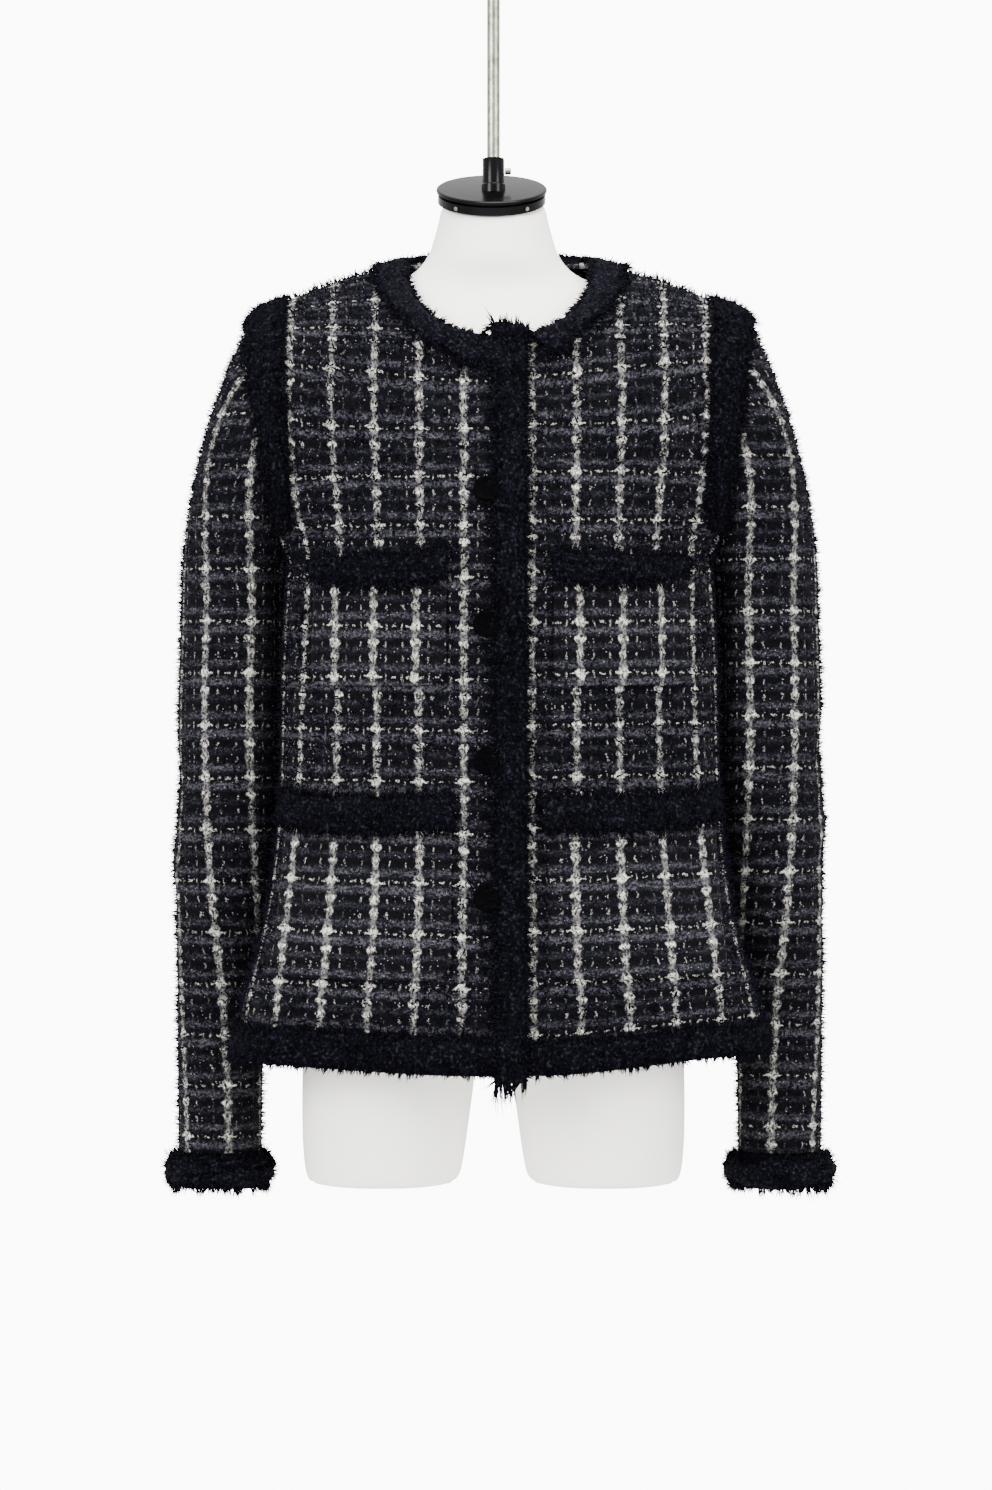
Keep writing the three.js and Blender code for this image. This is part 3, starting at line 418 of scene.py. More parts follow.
# %% The tweed's repeat
REPEAT_ACROSS, REPEAT_DOWN = 34.0, 38.6
TICKS_ASIDE = 10.5          # from the middle of a white column to the ticks beside it
# down the repeat, half width of the white column in cm, its brightness, grey of the ground
COLUMN = [
    (0.000, 0.44, 1.00, 0.10), (0.045, 0.32, 0.90, 0.12), (0.085, 0.22, 0.42, 0.42),
    (0.125, 0.20, 0.20, 0.84), (0.205, 0.20, 0.18, 0.84), (0.255, 0.23, 0.26, 0.36),
    (0.300, 0.34, 0.80, 0.08), (0.345, 0.38, 0.95, 0.06), (0.390, 0.28, 0.60, 0.12),
    (0.430, 0.20, 0.22, 0.42), (0.490, 0.20, 0.20, 0.46), (0.540, 0.25, 0.42, 0.20),
    (0.590, 0.30, 0.72, 0.06), (0.650, 0.24, 0.40, 0.06), (0.720, 0.19, 0.26, 0.24),
    (0.770, 0.20, 0.18, 0.68), (0.850, 0.20, 0.22, 0.68), (0.900, 0.24, 0.40, 0.24),
    (0.950, 0.32, 0.85, 0.12), (1.000, 0.44, 1.00, 0.10),
]
# down the repeat, brightness of the side ticks, and of the weft dashes
THREADS = [
    (0.000, 0.75, 1.00), (0.012, 0.75, 0.90), (0.028, 0.70, 0.00), (0.070, 0.40, 0.00),
    (0.095, 0.00, 0.00), (0.305, 0.00, 0.00), (0.330, 0.60, 0.00), (0.400, 0.55, 0.00),
    (0.425, 0.00, 0.00), (0.585, 0.00, 0.00), (0.610, 0.65, 0.00), (0.690, 0.55, 0.00),
    (0.715, 0.00, 0.00), (0.945, 0.00, 0.00), (0.965, 0.50, 0.00), (0.980, 0.60, 0.00),
    (0.990, 0.75, 0.80), (1.000, 0.75, 1.00),
]


def tweed(name, shift_across, shift_down):
    """The tweed, with its knots moved so many millimetres on this panel."""
    cloth = Finish(name)
    weave = add(cloth.tree, "ShaderNodeUVMap", uv_map="weave")
    mm = cloth.vector("MULTIPLY", weave, (1000, 1000, 1000))
    # Slack in the weave: the threads wander by about a millimetre.
    place = mm
    for scale, detail, reach in ((0.16, 1.0, (5.0, 4.0, 0)), (0.75, 2.0, (2.2, 2.6, 0))):
        cloud = cloth.noise(mm, scale, detail)
        stray = cloth.vector("SUBTRACT", cloud.outputs["Color"], (0.5, 0.5, 0.5))
        place = cloth.vector("MULTIPLY_ADD", stray, reach, place)
    place = cloth.vector("ADD", place, (shift_across + REPEAT_ACROSS / 2, shift_down, 0))
    cells = cloth.vector("DIVIDE", place, (REPEAT_ACROSS, REPEAT_DOWN, 1))
    number = cloth.vector("FLOOR", cells)
    chance = add(cloth.tree, "ShaderNodeTexWhiteNoise", {"Vector": number},
                 noise_dimensions="2D").outputs["Value"]
    within = add(cloth.tree, "ShaderNodeSeparateXYZ", (cloth.vector("FRACTION", cells),))
    down = within.outputs["Y"]
    centred = cloth.maths("SUBTRACT", within.outputs["X"], 0.5)
    aside = cloth.maths("MULTIPLY", cloth.maths("ABSOLUTE", centred), REPEAT_ACROSS)
    column = cloth.channels(cloth.ramp(down, COLUMN, "EASE"))
    threads = cloth.channels(cloth.ramp(down, THREADS))
    # The white chenille column: soft sided, lumpy, brighter in some repeats than others.
    half = cloth.maths("MULTIPLY", column["Red"], 10.0)
    inside = cloth.maths("SUBTRACT", half, aside)
    chenille = cloth.ranged(inside, -0.9, 0.9, 0.0, 1.0, curve="SMOOTHSTEP")
    chenille = cloth.maths("MULTIPLY", chenille, column["Green"])
    chenille = cloth.maths("MULTIPLY", chenille, cloth.ranged(chance, 0.0, 1.0, 0.72, 1.08))
    # Each column is a bundle of looped strands about a millimetre thick, with gaps of black.
    strands = cloth.noise(cloth.vector("MULTIPLY", place, (0.62, 0.30, 1)), 1.0, 3.0, 0.7)
    strand = cloth.ranged(strands.outputs["Fac"], 0.42, 0.56, 0.04, 1.15, curve="SMOOTHSTEP")
    chenille = cloth.maths("MULTIPLY", chenille, strand)
    # Thin warp ticks either side, and thin weft dashes in the knot's own row.
    tick = cloth.maths("ABSOLUTE", cloth.maths("SUBTRACT", aside, TICKS_ASIDE))
    tick = cloth.maths("MULTIPLY", cloth.ranged(tick, 0.30, 0.85, 1.0, 0.0), threads["Red"])
    tick = cloth.maths("MULTIPLY", tick, cloth.ranged(chance, 0.35, 0.6, 0.1, 0.75))
    arm = cloth.ranged(aside, 6.2, 7.4, 1.0, 0.0)
    middle = cloth.ranged(aside, 14.8, 15.6, 0.0, 0.8)
    dash = cloth.maths("MULTIPLY", cloth.maths("MAXIMUM", arm, middle), threads["Green"])
    frayed = cloth.noise(mm, 0.9, 2.0).outputs["Fac"]
    thread = cloth.maths("MULTIPLY", cloth.maths("MAXIMUM", tick, dash),
                         cloth.ranged(frayed, 0.42, 0.56, 0.0, 0.95))
    white = cloth.maths("MAXIMUM", chenille, thread, clamp=True)
    # The ground: black wool, greyed by the weft bands, full of fine flecks.
    fleck = cloth.noise(mm, 0.42, 4.0, 0.9).outputs["Fac"]
    patch = cloth.noise(mm, 0.10, 1.0).outputs["Fac"]
    grey = cloth.maths("MULTIPLY", column["Blue"], cloth.ranged(patch, 0.3, 0.7, 0.7, 1.25))
    grey = cloth.maths("ADD", grey, 0.15)
    grey = cloth.maths("MULTIPLY", grey, cloth.ranged(fleck, 0.40, 0.62, 0.10, 1.5), clamp=True)
    wool = cloth.ramp(grey, [(0.0, "#010102"), (0.30, "#07070B"), (0.62, "#1E1E24"),
                             (1.0, "#3D3C41")])
    # Painted highlights: a few tiny grains of the ground are painted a lighter grey, as glints
    # where they would catch the light.
    painted_glint_cells = add(cloth.tree, "ShaderNodeTexVoronoi", {"Vector": mm, "Scale": 0.36}).outputs
    painted_glint_dots = cloth.ranged(painted_glint_cells["Distance"], 0.10, 0.22, 1.0, 0.0)
    painted_glint_pick = cloth.ranged(cloth.channels(painted_glint_cells["Color"])["Red"], 0.55, 0.65, 0.0, 1.0)
    painted_glint = cloth.maths("MULTIPLY", painted_glint_dots, painted_glint_pick)
    # The base colour is the wool with its white knots, with the painted glints laid over it.
    base = cloth.over(painted_glint, cloth.over(white, wool, "#CBC9C1"), "#717177")
    # Relief: knots stand about a millimetre out of the ground.
    height = cloth.maths("MULTIPLY_ADD", grey, 0.45, white)
    return cloth.made(height, 0.9, 0.0011, Base_Color=base, Roughness=0.92,
                      Specular_IOR_Level=0.04, Sheen_Weight=0.01, Sheen_Roughness=0.5)


# %% [markdown]
# ## Fringe yarn, and the rest of the finishes
# The trims are black chenille: thousands of short cut ends that swallow light, with a faint
# blue-grey cast. The geometry carries the pile, so this material only varies the black a
# little from end to end.


# %% Fringe yarn, button, shell, lacquer and steel
def soft_yarn(name, dark, middle, light):
    """Dull wool whose colour wavers from one yarn end to the next."""
    wool = Finish(name)
    spot = add(wool.tree, "ShaderNodeTexCoord").outputs["Object"]
    cloud = wool.noise(spot, 420.0, 3.0).outputs["Fac"]
    tone = wool.ramp(cloud, [(0.30, dark), (0.55, middle), (0.75, light)])
    return wool.made(cloud, 0.8, 0.0012, Base_Color=tone, Roughness=0.9,
                     Specular_IOR_Level=0.03, Sheen_Weight=0.01, Sheen_Roughness=0.4,
                     Sheen_Tint=colour("#8A8AA6"))


def moulded(name, dark, light, rough, grain, depth, metal=0.0, rough_spread=0.06,
            specular=0.5):
    """A hard finish: colour and roughness vary with a grain of so many metres."""
    hard = Finish(name)
    spot = add(hard.tree, "ShaderNodeTexCoord").outputs["Object"]
    cloud = hard.noise(spot, 1 / grain, 4.0).outputs["Fac"]
    fine = hard.noise(spot, 6 / grain, 2.0).outputs["Fac"]
    gloss = hard.ranged(fine, 0.3, 0.7, rough - rough_spread, rough + rough_spread)
    return hard.made(fine, 0.3, depth, Base_Color=hard.ramp(cloud, [(0.3, dark), (0.7, light)]),
                     Roughness=gloss, Metallic=metal, Specular_IOR_Level=specular)


# The fringe is cut black chenille: matt, nearly black, with a cold cast.
FRINGE = soft_yarn("black_chenille_fringe", "#010102", "#05050A", "#22222B")
# The nap is the tweed's own dark wool, teased out of the ground.
NAP_WOOL = soft_yarn("loose_dark_wool", "#020206", "#07070F", "#1A1A26")
# Compression-moulded buttons are matt black all over.
BUTTON = moulded("matt_black_resin_button", "#010101", "#030304", 0.6, 0.004, 0.00005,
                 specular=0.01)
# The form is a fibreglass shell sprayed off-white: smooth, satin, a little uneven.
SHELL = moulded("sprayed_fibreglass_shell", "#F5F3EC", "#F9F7F1", 0.5, 0.08, 0.0001)
# The cap is turned and lacquered black, smooth but not bright.
LACQUER = moulded("black_gloss_lacquer", "#020203", "#050506", 0.2, 0.02, 0.000002,
                  rough_spread=0.02, specular=0.08)
# The rod is hot-dip galvanised, which leaves a mottled grey-green zinc.
STEEL = moulded("galvanised_steel", "#66675C", "#96978A", 0.36, 0.006, 0.00006, metal=1.0)
print("finishes", len(bpy.data.materials))

# %% [markdown]
# ## Fronts, back and sleeves
# Each panel is drawn as a fine grid on its cutting table, creased, and given the
# cloth's thickness by a Solidify modifier that grows inwards, as the CAD wall does.

# %% The panels' grids
CLOTH = 2.4                 # thickness of the tweed
WEAVE_LEVEL = -426          # the level that the weave is counted down from
FLIP_X, NO_FLIP = np.array([-1.0, 1, 1]), np.ones(3)
MIRRORS = {"left": NO_FLIP, "right": FLIP_X}    # every side is drawn as the left one
HALF_SHARES = np.linspace(0, 1, 64)
FRONT_SHARES = np.concatenate([np.linspace(-OVERLAP / REACH, 0, 6)[:-1], HALF_SHARES])


def panel_grid(panel, shares, over, lines, slant, flare, rise=0.0):
    """A half panel: its points, normals and cloth coordinates, creased."""
    levels = np.linspace(panel["hem"], panel["top"], 180)
    drawn = [row(panel, level, shares, over) for level in levels]
    points = np.array([points for points, _ in drawn])
    totals = np.array([total for _, total in drawn])
    outwards = -panel["side"]
    normals = grid_normals(points, outwards)
    centre = int(np.argmin(abs(shares)))
    origin = int(np.argmin(abs(levels - WEAVE_LEVEL)))
    across, down = cloth_map(points, normals, outwards, centre, origin)
    across = across * outwards
    points = creased(points, normals, across, down, lines)
    # A front's hem rises a little towards its side seam.
    points[..., 2] += rise * smooth(-levels, 740, 838)[:, None] * smooth(abs(across), 30, 180)
    normals = grid_normals(points, outwards)
    # The weave widens with the flare of the skirt, and slants down towards the armhole.
    across = across / (1 + flare * smooth(-levels, 620, 838)[:, None])
    down = down + (0.02 + slant * smooth(levels, -340, -260))[:, None] * abs(across)
    return dict(panel=panel, points=points, normals=normals, across=across, down=down,
                shares=shares, levels=levels, totals=totals)


# across0, down0, across1, down1, width, height (mm; negative is a trough)
LEFT_CREASES = [
    (60, -190, 120, -60, 20, 3.0), (150, -150, 118, 10, 14, -3.2), (40, 60, 66, 210, 24, 2.2),
    (120, 40, 138, 190, 16, -3.0), (98, 230, 112, 400, 22, 2.6), (30, 250, 36, 400, 18, -1.8),
    (165, 180, 170, 380, 15, 3.0), (190, -40, 150, 60, 13, 2.8),
]
RIGHT_CREASES = [
    (70, -180, 128, -70, 22, 2.6), (146, -160, 126, -10, 12, -3.6), (52, 90, 60, 250, 26, 2.6),
    (112, 20, 132, 160, 15, -2.6), (90, 260, 118, 410, 20, -2.4), (36, 280, 50, 400, 22, 2.2),
    (158, 160, 178, 360, 17, 3.2), (182, -60, 140, 40, 12, 2.4),
]
BACK_CREASES = [
    (50, -150, 110, -40, 24, 2.8), (140, -120, 120, 40, 15, -3.0), (30, 60, 44, 260, 26, -2.4),
    (90, 80, 100, 330, 22, 2.8), (140, 120, 150, 330, 18, -2.6),
]
fronts = {
    "left": panel_grid(FRONT, FRONT_SHARES, False, LEFT_CREASES, 0.10, 0.07, rise=10.0),
    "right": panel_grid(FRONT, FRONT_SHARES, True, RIGHT_CREASES, 0.10, 0.07, rise=4.0),
}
half_back = panel_grid(BACK, HALF_SHARES, False, BACK_CREASES, 0.05, 0.05)
above_neck = fronts["left"]["levels"][1:, None] > FRONT["neck"]
front_keep = ~((FRONT_SHARES[None, :-1] < -1e-6) & above_neck)     # no overlap over the neck


def walled(thing):
    """Gives a sheet its wall, grown inwards from the face."""
    wall = thing.modifiers.new("cloth thickness", "SOLIDIFY")
    wall.thickness = CLOTH * MM
    wall.offset = -1
    wall.use_even_offset = True
    return thing


def both_halves(half, mirror):
    return np.concatenate([(half[:, :0:-1] * mirror), half], axis=1)


# %% Cutting the panels
# how far the weave is moved across and down on each front, so that it meets at the middle
WEAVE_SHIFT = {"left": (REPEAT_ACROSS - 23.6, 4.0), "right": (REPEAT_ACROSS - 27.0, 0.0)}
for side, grid in fronts.items():
    walled(piece(
        f"front_{side}_cloth",
        mesh_from_grid(f"front_{side}", grid["points"] * MIRRORS[side],
                       (grid["across"], grid["down"]), front_keep, flip=side == "right"),
        tweed(f"boucle_tweed_{side}", *WEAVE_SHIFT[side]), "tweed", f"front_{side}"))

back = dict(half_back, shares=np.concatenate([-HALF_SHARES[:0:-1], HALF_SHARES]),
            points=both_halves(half_back["points"], FLIP_X),
            normals=both_halves(half_back["normals"], FLIP_X),
            across=both_halves(half_back["across"], -1), down=both_halves(half_back["down"], 1))
walled(piece(
    "back_cloth",
    mesh_from_grid("back", back["points"], (back["across"], back["down"]), flip=True),
    tweed("boucle_tweed_back", 0.0, 0.0), "tweed", "back"))
print("front cloth", round(fronts["left"]["across"].max()), "mm across, drop",
      round(np.ptp(fronts["left"]["down"])))


# %% Sleeves
def power(value, exponent):
    return np.sign(value) * abs(value) ** exponent


def sleeve_ring(z, degrees):
    outer, inner, front, behind = (read(SLEEVE, z, k) for k in range(1, 5))
    angle = np.radians(degrees)
    x = (outer + inner) / 2 + power(np.cos(angle), SLEEVE_POWER) * (outer - inner) / 2
    y = (front + behind) / 2 - power(np.sin(angle), SLEEVE_POWER) * (behind - front) / 2
    return np.stack([x, y, np.full_like(x, z)], -1)


def sleeve_cap(cap, degrees):
    """From the armhole (cap 0) to the first level ring (cap 1)."""
    angle = np.radians(degrees)
    start = armhole(abs(degrees), 1.0)
    start[:, 1] = SHOULDER[1] - ARM_DEPTH * np.sin(angle)
    end = sleeve_ring(SLEEVE[-1, 0], degrees)
    chord = np.linalg.norm(end - start, axis=-1)
    up, under = np.maximum(np.cos(angle), 0) ** 2, np.maximum(-np.cos(angle), 0) ** 2
    leave = np.stack([0.8 - 0.4 * up - 0.65 * under, -0.25 * np.sin(angle),
                      -0.55 - 0.37 * up - 0.45 * under], -1)
    arrive = np.zeros_like(leave)
    arrive[:, 2] = -1
    return hermite(start, leave * chord[:, None], end, arrive * chord[:, None], cap)


def level_map(points, middle, origin_row):
    """Across is walked round each level from the outer line, which alone measures down."""
    heights = points[..., 2]
    outer = points[:, middle]
    steps = np.concatenate([[0], np.cumsum(np.linalg.norm(np.diff(outer, axis=0), axis=1))])
    down = np.interp(-heights, -outer[:, 2], steps - steps[origin_row])
    across = np.zeros_like(heights)
    for way in (1, -1):
        for i in range(middle + way, len(points[0]) if way > 0 else -1, way):
            walked, last = 0, None
            for k in range(middle, i + way, way):
                here = np.stack([np.interp(-heights[:, i], -heights[:, k], points[:, k, axis])
                                 for axis in (0, 1)], -1)
                walked = walked if last is None else walked + np.linalg.norm(here - last, axis=1)
                last = here
            across[:, i] = way * walked
    return across, down


def sleeve_grid(lines):
    degrees = np.linspace(-180, 180, 85)
    caps = [sleeve_cap(cap, degrees) for cap in np.linspace(0, 1, 40)[:-1]]
    rings = [sleeve_ring(z, degrees) for z in np.linspace(SLEEVE[-1, 0], SLEEVE[0, 0], 112)]
    points = np.array(caps + rings)
    normals = grid_normals(points, 1)
    normals[:, 0] = normals[:, -1] = normals[:, 0] + normals[:, -1]
    normals = unit(normals)
    across, down = level_map(points, len(degrees) // 2, len(caps))
    points = creased(points, normals, across, down, lines)
    points[:, -1] = points[:, 0]
    return dict(points=points, normals=normals, across=across, down=down, degrees=degrees)


# Short folds slant round the front of each elbow, and longer ones run down the sleeve.
SLEEVE_CREASES = {
    "left": [(-60, 60, 30, 130, 14, -3.4), (-50, 150, 40, 190, 11, 2.6),
             (-40, 30, -60, 300, 13, -2.6), (20, 230, 36, 380, 15, 2.4),
             (-70, 220, 10, 250, 12, -2.8)],
    "right": [(-60, 80, 26, 150, 15, -3.0), (-44, 170, 36, 220, 12, 2.8),
              (-34, 10, -52, 260, 12, -2.8), (24, 200, 30, 360, 16, 2.2),
              (-66, 260, 0, 300, 11, -2.4)],
}
SLEEVE_EASE = 0.963         # the repeat is about 4 % longer down a sleeve than down a front
SLEEVE_SHIFT = {"left": (8.0, 29.6), "right": (8.0, 22.1)}
sleeves = {}
for side, mirror in MIRRORS.items():
    grid = sleeves[side] = sleeve_grid(SLEEVE_CREASES[side])
    mesh = mesh_from_grid(f"sleeve_{side}", grid["points"] * mirror,
                          (grid["across"], grid["down"] * SLEEVE_EASE), weld=True,
                          flip=side == "left")
    walled(piece(
        f"sleeve_{side}_cloth", mesh, tweed(f"boucle_tweed_sleeve_{side}", *SLEEVE_SHIFT[side]),
        "tweed", f"sleeve_{side}"))
print("sleeve's cuff", round(np.ptp(sleeves["left"]["across"][-1])), "mm round")

# %% [markdown]
# ## Laying pieces on a panel
# Pockets and trims follow the panel they are sewn to. A panel's grid can be read at any
# share of a row and any level, so a piece is laid out flat in millimetres and then moved
# onto the cloth and out along its normal.


# %% Reading a panel anywhere
def between(field, row, column, down, along):
    """A field's value between four neighbours of its grid."""
    if field.ndim == 3:
        down, along = down[..., None], along[..., None]
    low = field[row, column] * (1 - along) + field[row, column + 1] * along
    high = field[row + 1, column] * (1 - along) + field[row + 1, column + 1] * along
    return low * (1 - down) + high * down


def at_share(grid, share, level):
    """Point, normal and cloth coordinates at a share of the row and a level."""
    share, level = np.broadcast_arrays(share, level)
    i = np.interp(share, grid["shares"], np.arange(len(grid["shares"])))
    j = np.interp(level, grid["levels"], np.arange(len(grid["levels"])))
    i0 = np.clip(i.astype(int), 0, len(grid["shares"]) - 2)
    j0 = np.clip(j.astype(int), 0, len(grid["levels"]) - 2)
    points, normals, across, down = (between(grid[field], j0, i0, j - j0, i - i0)
                                     for field in ("points", "normals", "across", "down"))
    return points, unit(normals), across, down


def on_panel(grid, along, level):
    """The same at so many mm from the centre line; less than 0 is past it."""
    along, level = np.broadcast_arrays(np.asarray(along, float), np.asarray(level, float))
    total = np.interp(level, grid["levels"], grid["totals"])
    return at_share(grid, np.where(along < 0, along / REACH, along / total), level)


# %% [markdown]
# ## Patch pockets
# A patch is cut with two rounded lower corners and sewn on three sides. Its grid narrows
# towards the bottom by the corner's own circle. Towards its middle it stands a little off
# the front, because the mouth of a pocket always gapes.

# %% Pockets
LIFT = 0.85                 # what lies on the cloth starts this far off it
GAPE = 0.8
# from the centre line, to, top, bottom, radius of the lower corners, weave moved across
POCKETS = dict(upper=(40.0, 151.0, -446.0, -546.0, 14.0, -2.0),
               lower=(36.0, 176.0, -633.0, -768.0, 18.0, 2.0))
POCKET_SHIFT_DOWN = {"left": 4.0, "right": 1.0}
for height, (start, end, top, bottom, corner, nudge) in POCKETS.items():
    for side, grid in fronts.items():
        levels = np.concatenate([np.linspace(bottom, bottom + corner, 9)[:-1],
                                 np.linspace(bottom + corner, top, 30)])
        rounding = np.clip((bottom + corner - levels) / corner, 0, 1)
        inset = corner * (1 - np.sqrt(1 - rounding ** 2))
        share = np.linspace(0, 1, 40)
        along = (start + inset)[:, None] * (1 - share) + (end - inset)[:, None] * share
        points, normals, across, down = on_panel(grid, along, levels[:, None])
        gape = np.sin(np.pi * share)[None] * smooth(levels, bottom, top)[:, None] ** 2
        points = points + normals * (LIFT + CLOTH + GAPE * gape)[..., None]
        mesh = mesh_from_grid(f"pocket_{height}_{side}", points * MIRRORS[side], (across, down),
                              flip=side == "right")
        walled(piece(
            f"pocket_{height}_{side}_cloth", mesh,
            tweed(f"boucle_tweed_pocket_{height}_{side}", WEAVE_SHIFT[side][0] + nudge,
                  POCKET_SHIFT_DOWN[side]), "tweed", f"pocket_{height}_{side}"))

# %% [markdown]
# ## Yarn ends
# The trims' pile and the tweed's nap are both made of yarn ends: three-sided spikes that
# taper to a point and bend. Thousands of them are written into one mesh straight from
# arrays, which is far faster than adding them one by one.

# %% Spikes of yarn from arrays
STUB = ((0.0, 1.0),)                    # a spike's rings: share of its length, of its width
BENT = ((0.0, 1.0), (0.55, 0.72))
THIRDS = (0, 2.0944, 4.18879)           # thirds of a turn


def spikes(name, roots, reach, sag, width, rng, rings):
    """One mesh of bent, tapered three-sided yarn ends, in mm. sag bends each end."""
    count, steps = len(roots), len(rings)
    axis = unit(reach)
    side = unit(np.cross(axis, rng.normal(size=(count, 3))))
    other = np.cross(axis, side)
    corners = []
    for t, thick in rings:
        middle = roots + reach * t + sag * t * t
        for turn in THIRDS:
            offset = side * np.cos(turn) + other * np.sin(turn)
            corners.append(middle + offset * width[:, None] * thick / 2)
    points = np.stack([*corners, roots + reach + sag], axis=1).reshape(-1, 3)
    quads = np.array([(3 * k + a, 3 * k + (a + 1) % 3, 3 * k + 3 + (a + 1) % 3, 3 * k + 3 + a)
                      for k in range(steps - 1) for a in range(3)], int).reshape(-1, 4)
    last = 3 * steps - 3
    tips = np.array([(last, last + 1, last + 3), (last + 1, last + 2, last + 3),
                     (last + 2, last, last + 3)])
    base = np.arange(count)[:, None, None] * (3 * steps + 1)
    loops = np.concatenate([(quads[None] + base).reshape(count, -1),
                            (tips[None] + base).reshape(count, -1)], axis=1).ravel()
    sizes = np.tile([4] * len(quads) + [3] * 3, count)
    mesh = bpy.data.meshes.new(name)
    mesh.vertices.add(len(points))
    mesh.vertices.foreach_set("co", ((points + [JACKET_X, 0, 0]) * MM).astype(np.float32).ravel())
    mesh.loops.add(len(loops))
    mesh.loops.foreach_set("vertex_index", loops.astype(np.int32))
    mesh.polygons.add(len(sizes))
    starts = np.concatenate([[0], np.cumsum(sizes)[:-1]])
    mesh.polygons.foreach_set("loop_start", starts.astype(np.int32))
    mesh.update(calc_edges=True)
    mesh.shade_smooth()
    return mesh


def joined(name, *meshes):
    shape = bmesh.new()
    for mesh in meshes:
        shape.from_mesh(mesh)
        bpy.data.meshes.remove(mesh)
    whole = bpy.data.meshes.new(name)
    shape.to_mesh(whole)
    shape.free()
    return whole


# %% [markdown]
# ## Nap on the tweed
# Loose wool stands off a shaggy tweed by a few millimetres and softens every outline. It is
# far too fine to weave, so each panel is sown with single dark spikes that lean any way.
# The sleeves carry more of them than the body, whose pattern has to stay clear.

# %% Nap
NAP, NAP_SLEEVE = 0.048, 0.120          # hairs to a square millimetre
NAP_LONG, NAP_THICK = (4.0, 9.0), (1.3, 2.3)
NAP_ROOT = 0.3                          # how deep in the cloth a hair starts


def nap(sheet, seed, grid, mirror=NO_FLIP, keep=None, dense=NAP):
    """Fine hairs over the outer face of a panel's grid."""
    rng = np.random.default_rng(seed)
    points = grid["points"]
    area = (np.linalg.norm(np.diff(points, axis=1)[:-1], axis=-1)
            * np.linalg.norm(np.diff(points, axis=0)[:, :-1], axis=-1))
    if keep is not None:
        area = area * keep
    count = int(area.sum() * dense)
    cell = rng.choice(area.size, count, p=(area / area.sum()).ravel())
    j, i = np.divmod(cell, points.shape[1] - 1)
    along, down = rng.random(count), rng.random(count)
    out = between(grid["normals"], j, i, down, along)
    reach = rng.normal(size=(count, 3)) * 0.5
    reach += out * (0.9 - (reach * out).sum(1, keepdims=True) * 0.6)
    reach *= rng.uniform(*NAP_LONG, (count, 1)) / np.linalg.norm(reach, axis=1, keepdims=True)
    roots = between(points, j, i, down, along) - out * NAP_ROOT
    hair = spikes(f"nap_{sheet}", roots * mirror, reach * mirror,
                  rng.normal(size=(count, 3)) * 0.8, rng.uniform(*NAP_THICK, count), rng, STUB)
    print("nap on", sheet, count, "hairs")
    return piece(f"nap_{sheet}", hair, NAP_WOOL, "tweed")


naps = {f"front_{side}": nap(f"front_{side}", 70 + k, fronts[side], MIRRORS[side], front_keep)
        for k, side in enumerate(MIRRORS)}
naps["back"] = nap("back", 72, back)
for k, side in enumerate(MIRRORS):
    naps[side] = nap(f"sleeve_{side}", 73 + k, sleeves[side], MIRRORS[side], dense=NAP_SLEEVE)

# %% [markdown]
# ## Fringe
# Each trim is a band of black chenille: a soft core along the edge, and thousands of short
# yarn ends that lean out of it. The core is a closed tube swept along the edge. The ends are
# drawn together into tufts, with a seeded random root, lean and length, so every run gives
# the same fringe. They are joined to the core as one mesh.


# %% Fringe
TRIM_THICK, TRIM_EDGE = 6.5, 2.0        # the band's height in its middle and at its edges
TUFT = 4.6          # between the middles of two neighbouring tufts
PILE = 0.34         # short yarn ends to a square millimetre of the band
EDGE = 2.3          # long yarn ends to a millimetre of each edge
CORE = 0.62         # the core's share of the band's height; the pile stands over it
LUMPS = 1.1         # how far the core is uneven
YARN = 1.15         # how thick a yarn end is where it starts
INNER_FROM, EDGE_WIDE = 0.86, 0.14      # the long ends' strips, in shares of the band's width


def band_height(share):
    return TRIM_EDGE + (TRIM_THICK - TRIM_EDGE) * (1 - abs(2 * share - 1) ** 3)


def fringe_core(name, top, foot, mirror, ring):
    """A closed tube between the band's foot and its top."""
    tube = np.concatenate([top, foot[:, ::-1], top[:, :1]], axis=1)
    core = mesh_from_grid(name, tube * mirror, weld=True)
    shape = bmesh.new()
    shape.from_mesh(core)
    if not ring:
        bmesh.ops.holes_fill(shape, edges=[e for e in shape.edges if e.is_boundary], sides=0)
    bmesh.ops.recalc_face_normals(shape, faces=shape.faces)
    shape.to_mesh(core)
    shape.free()
    return core


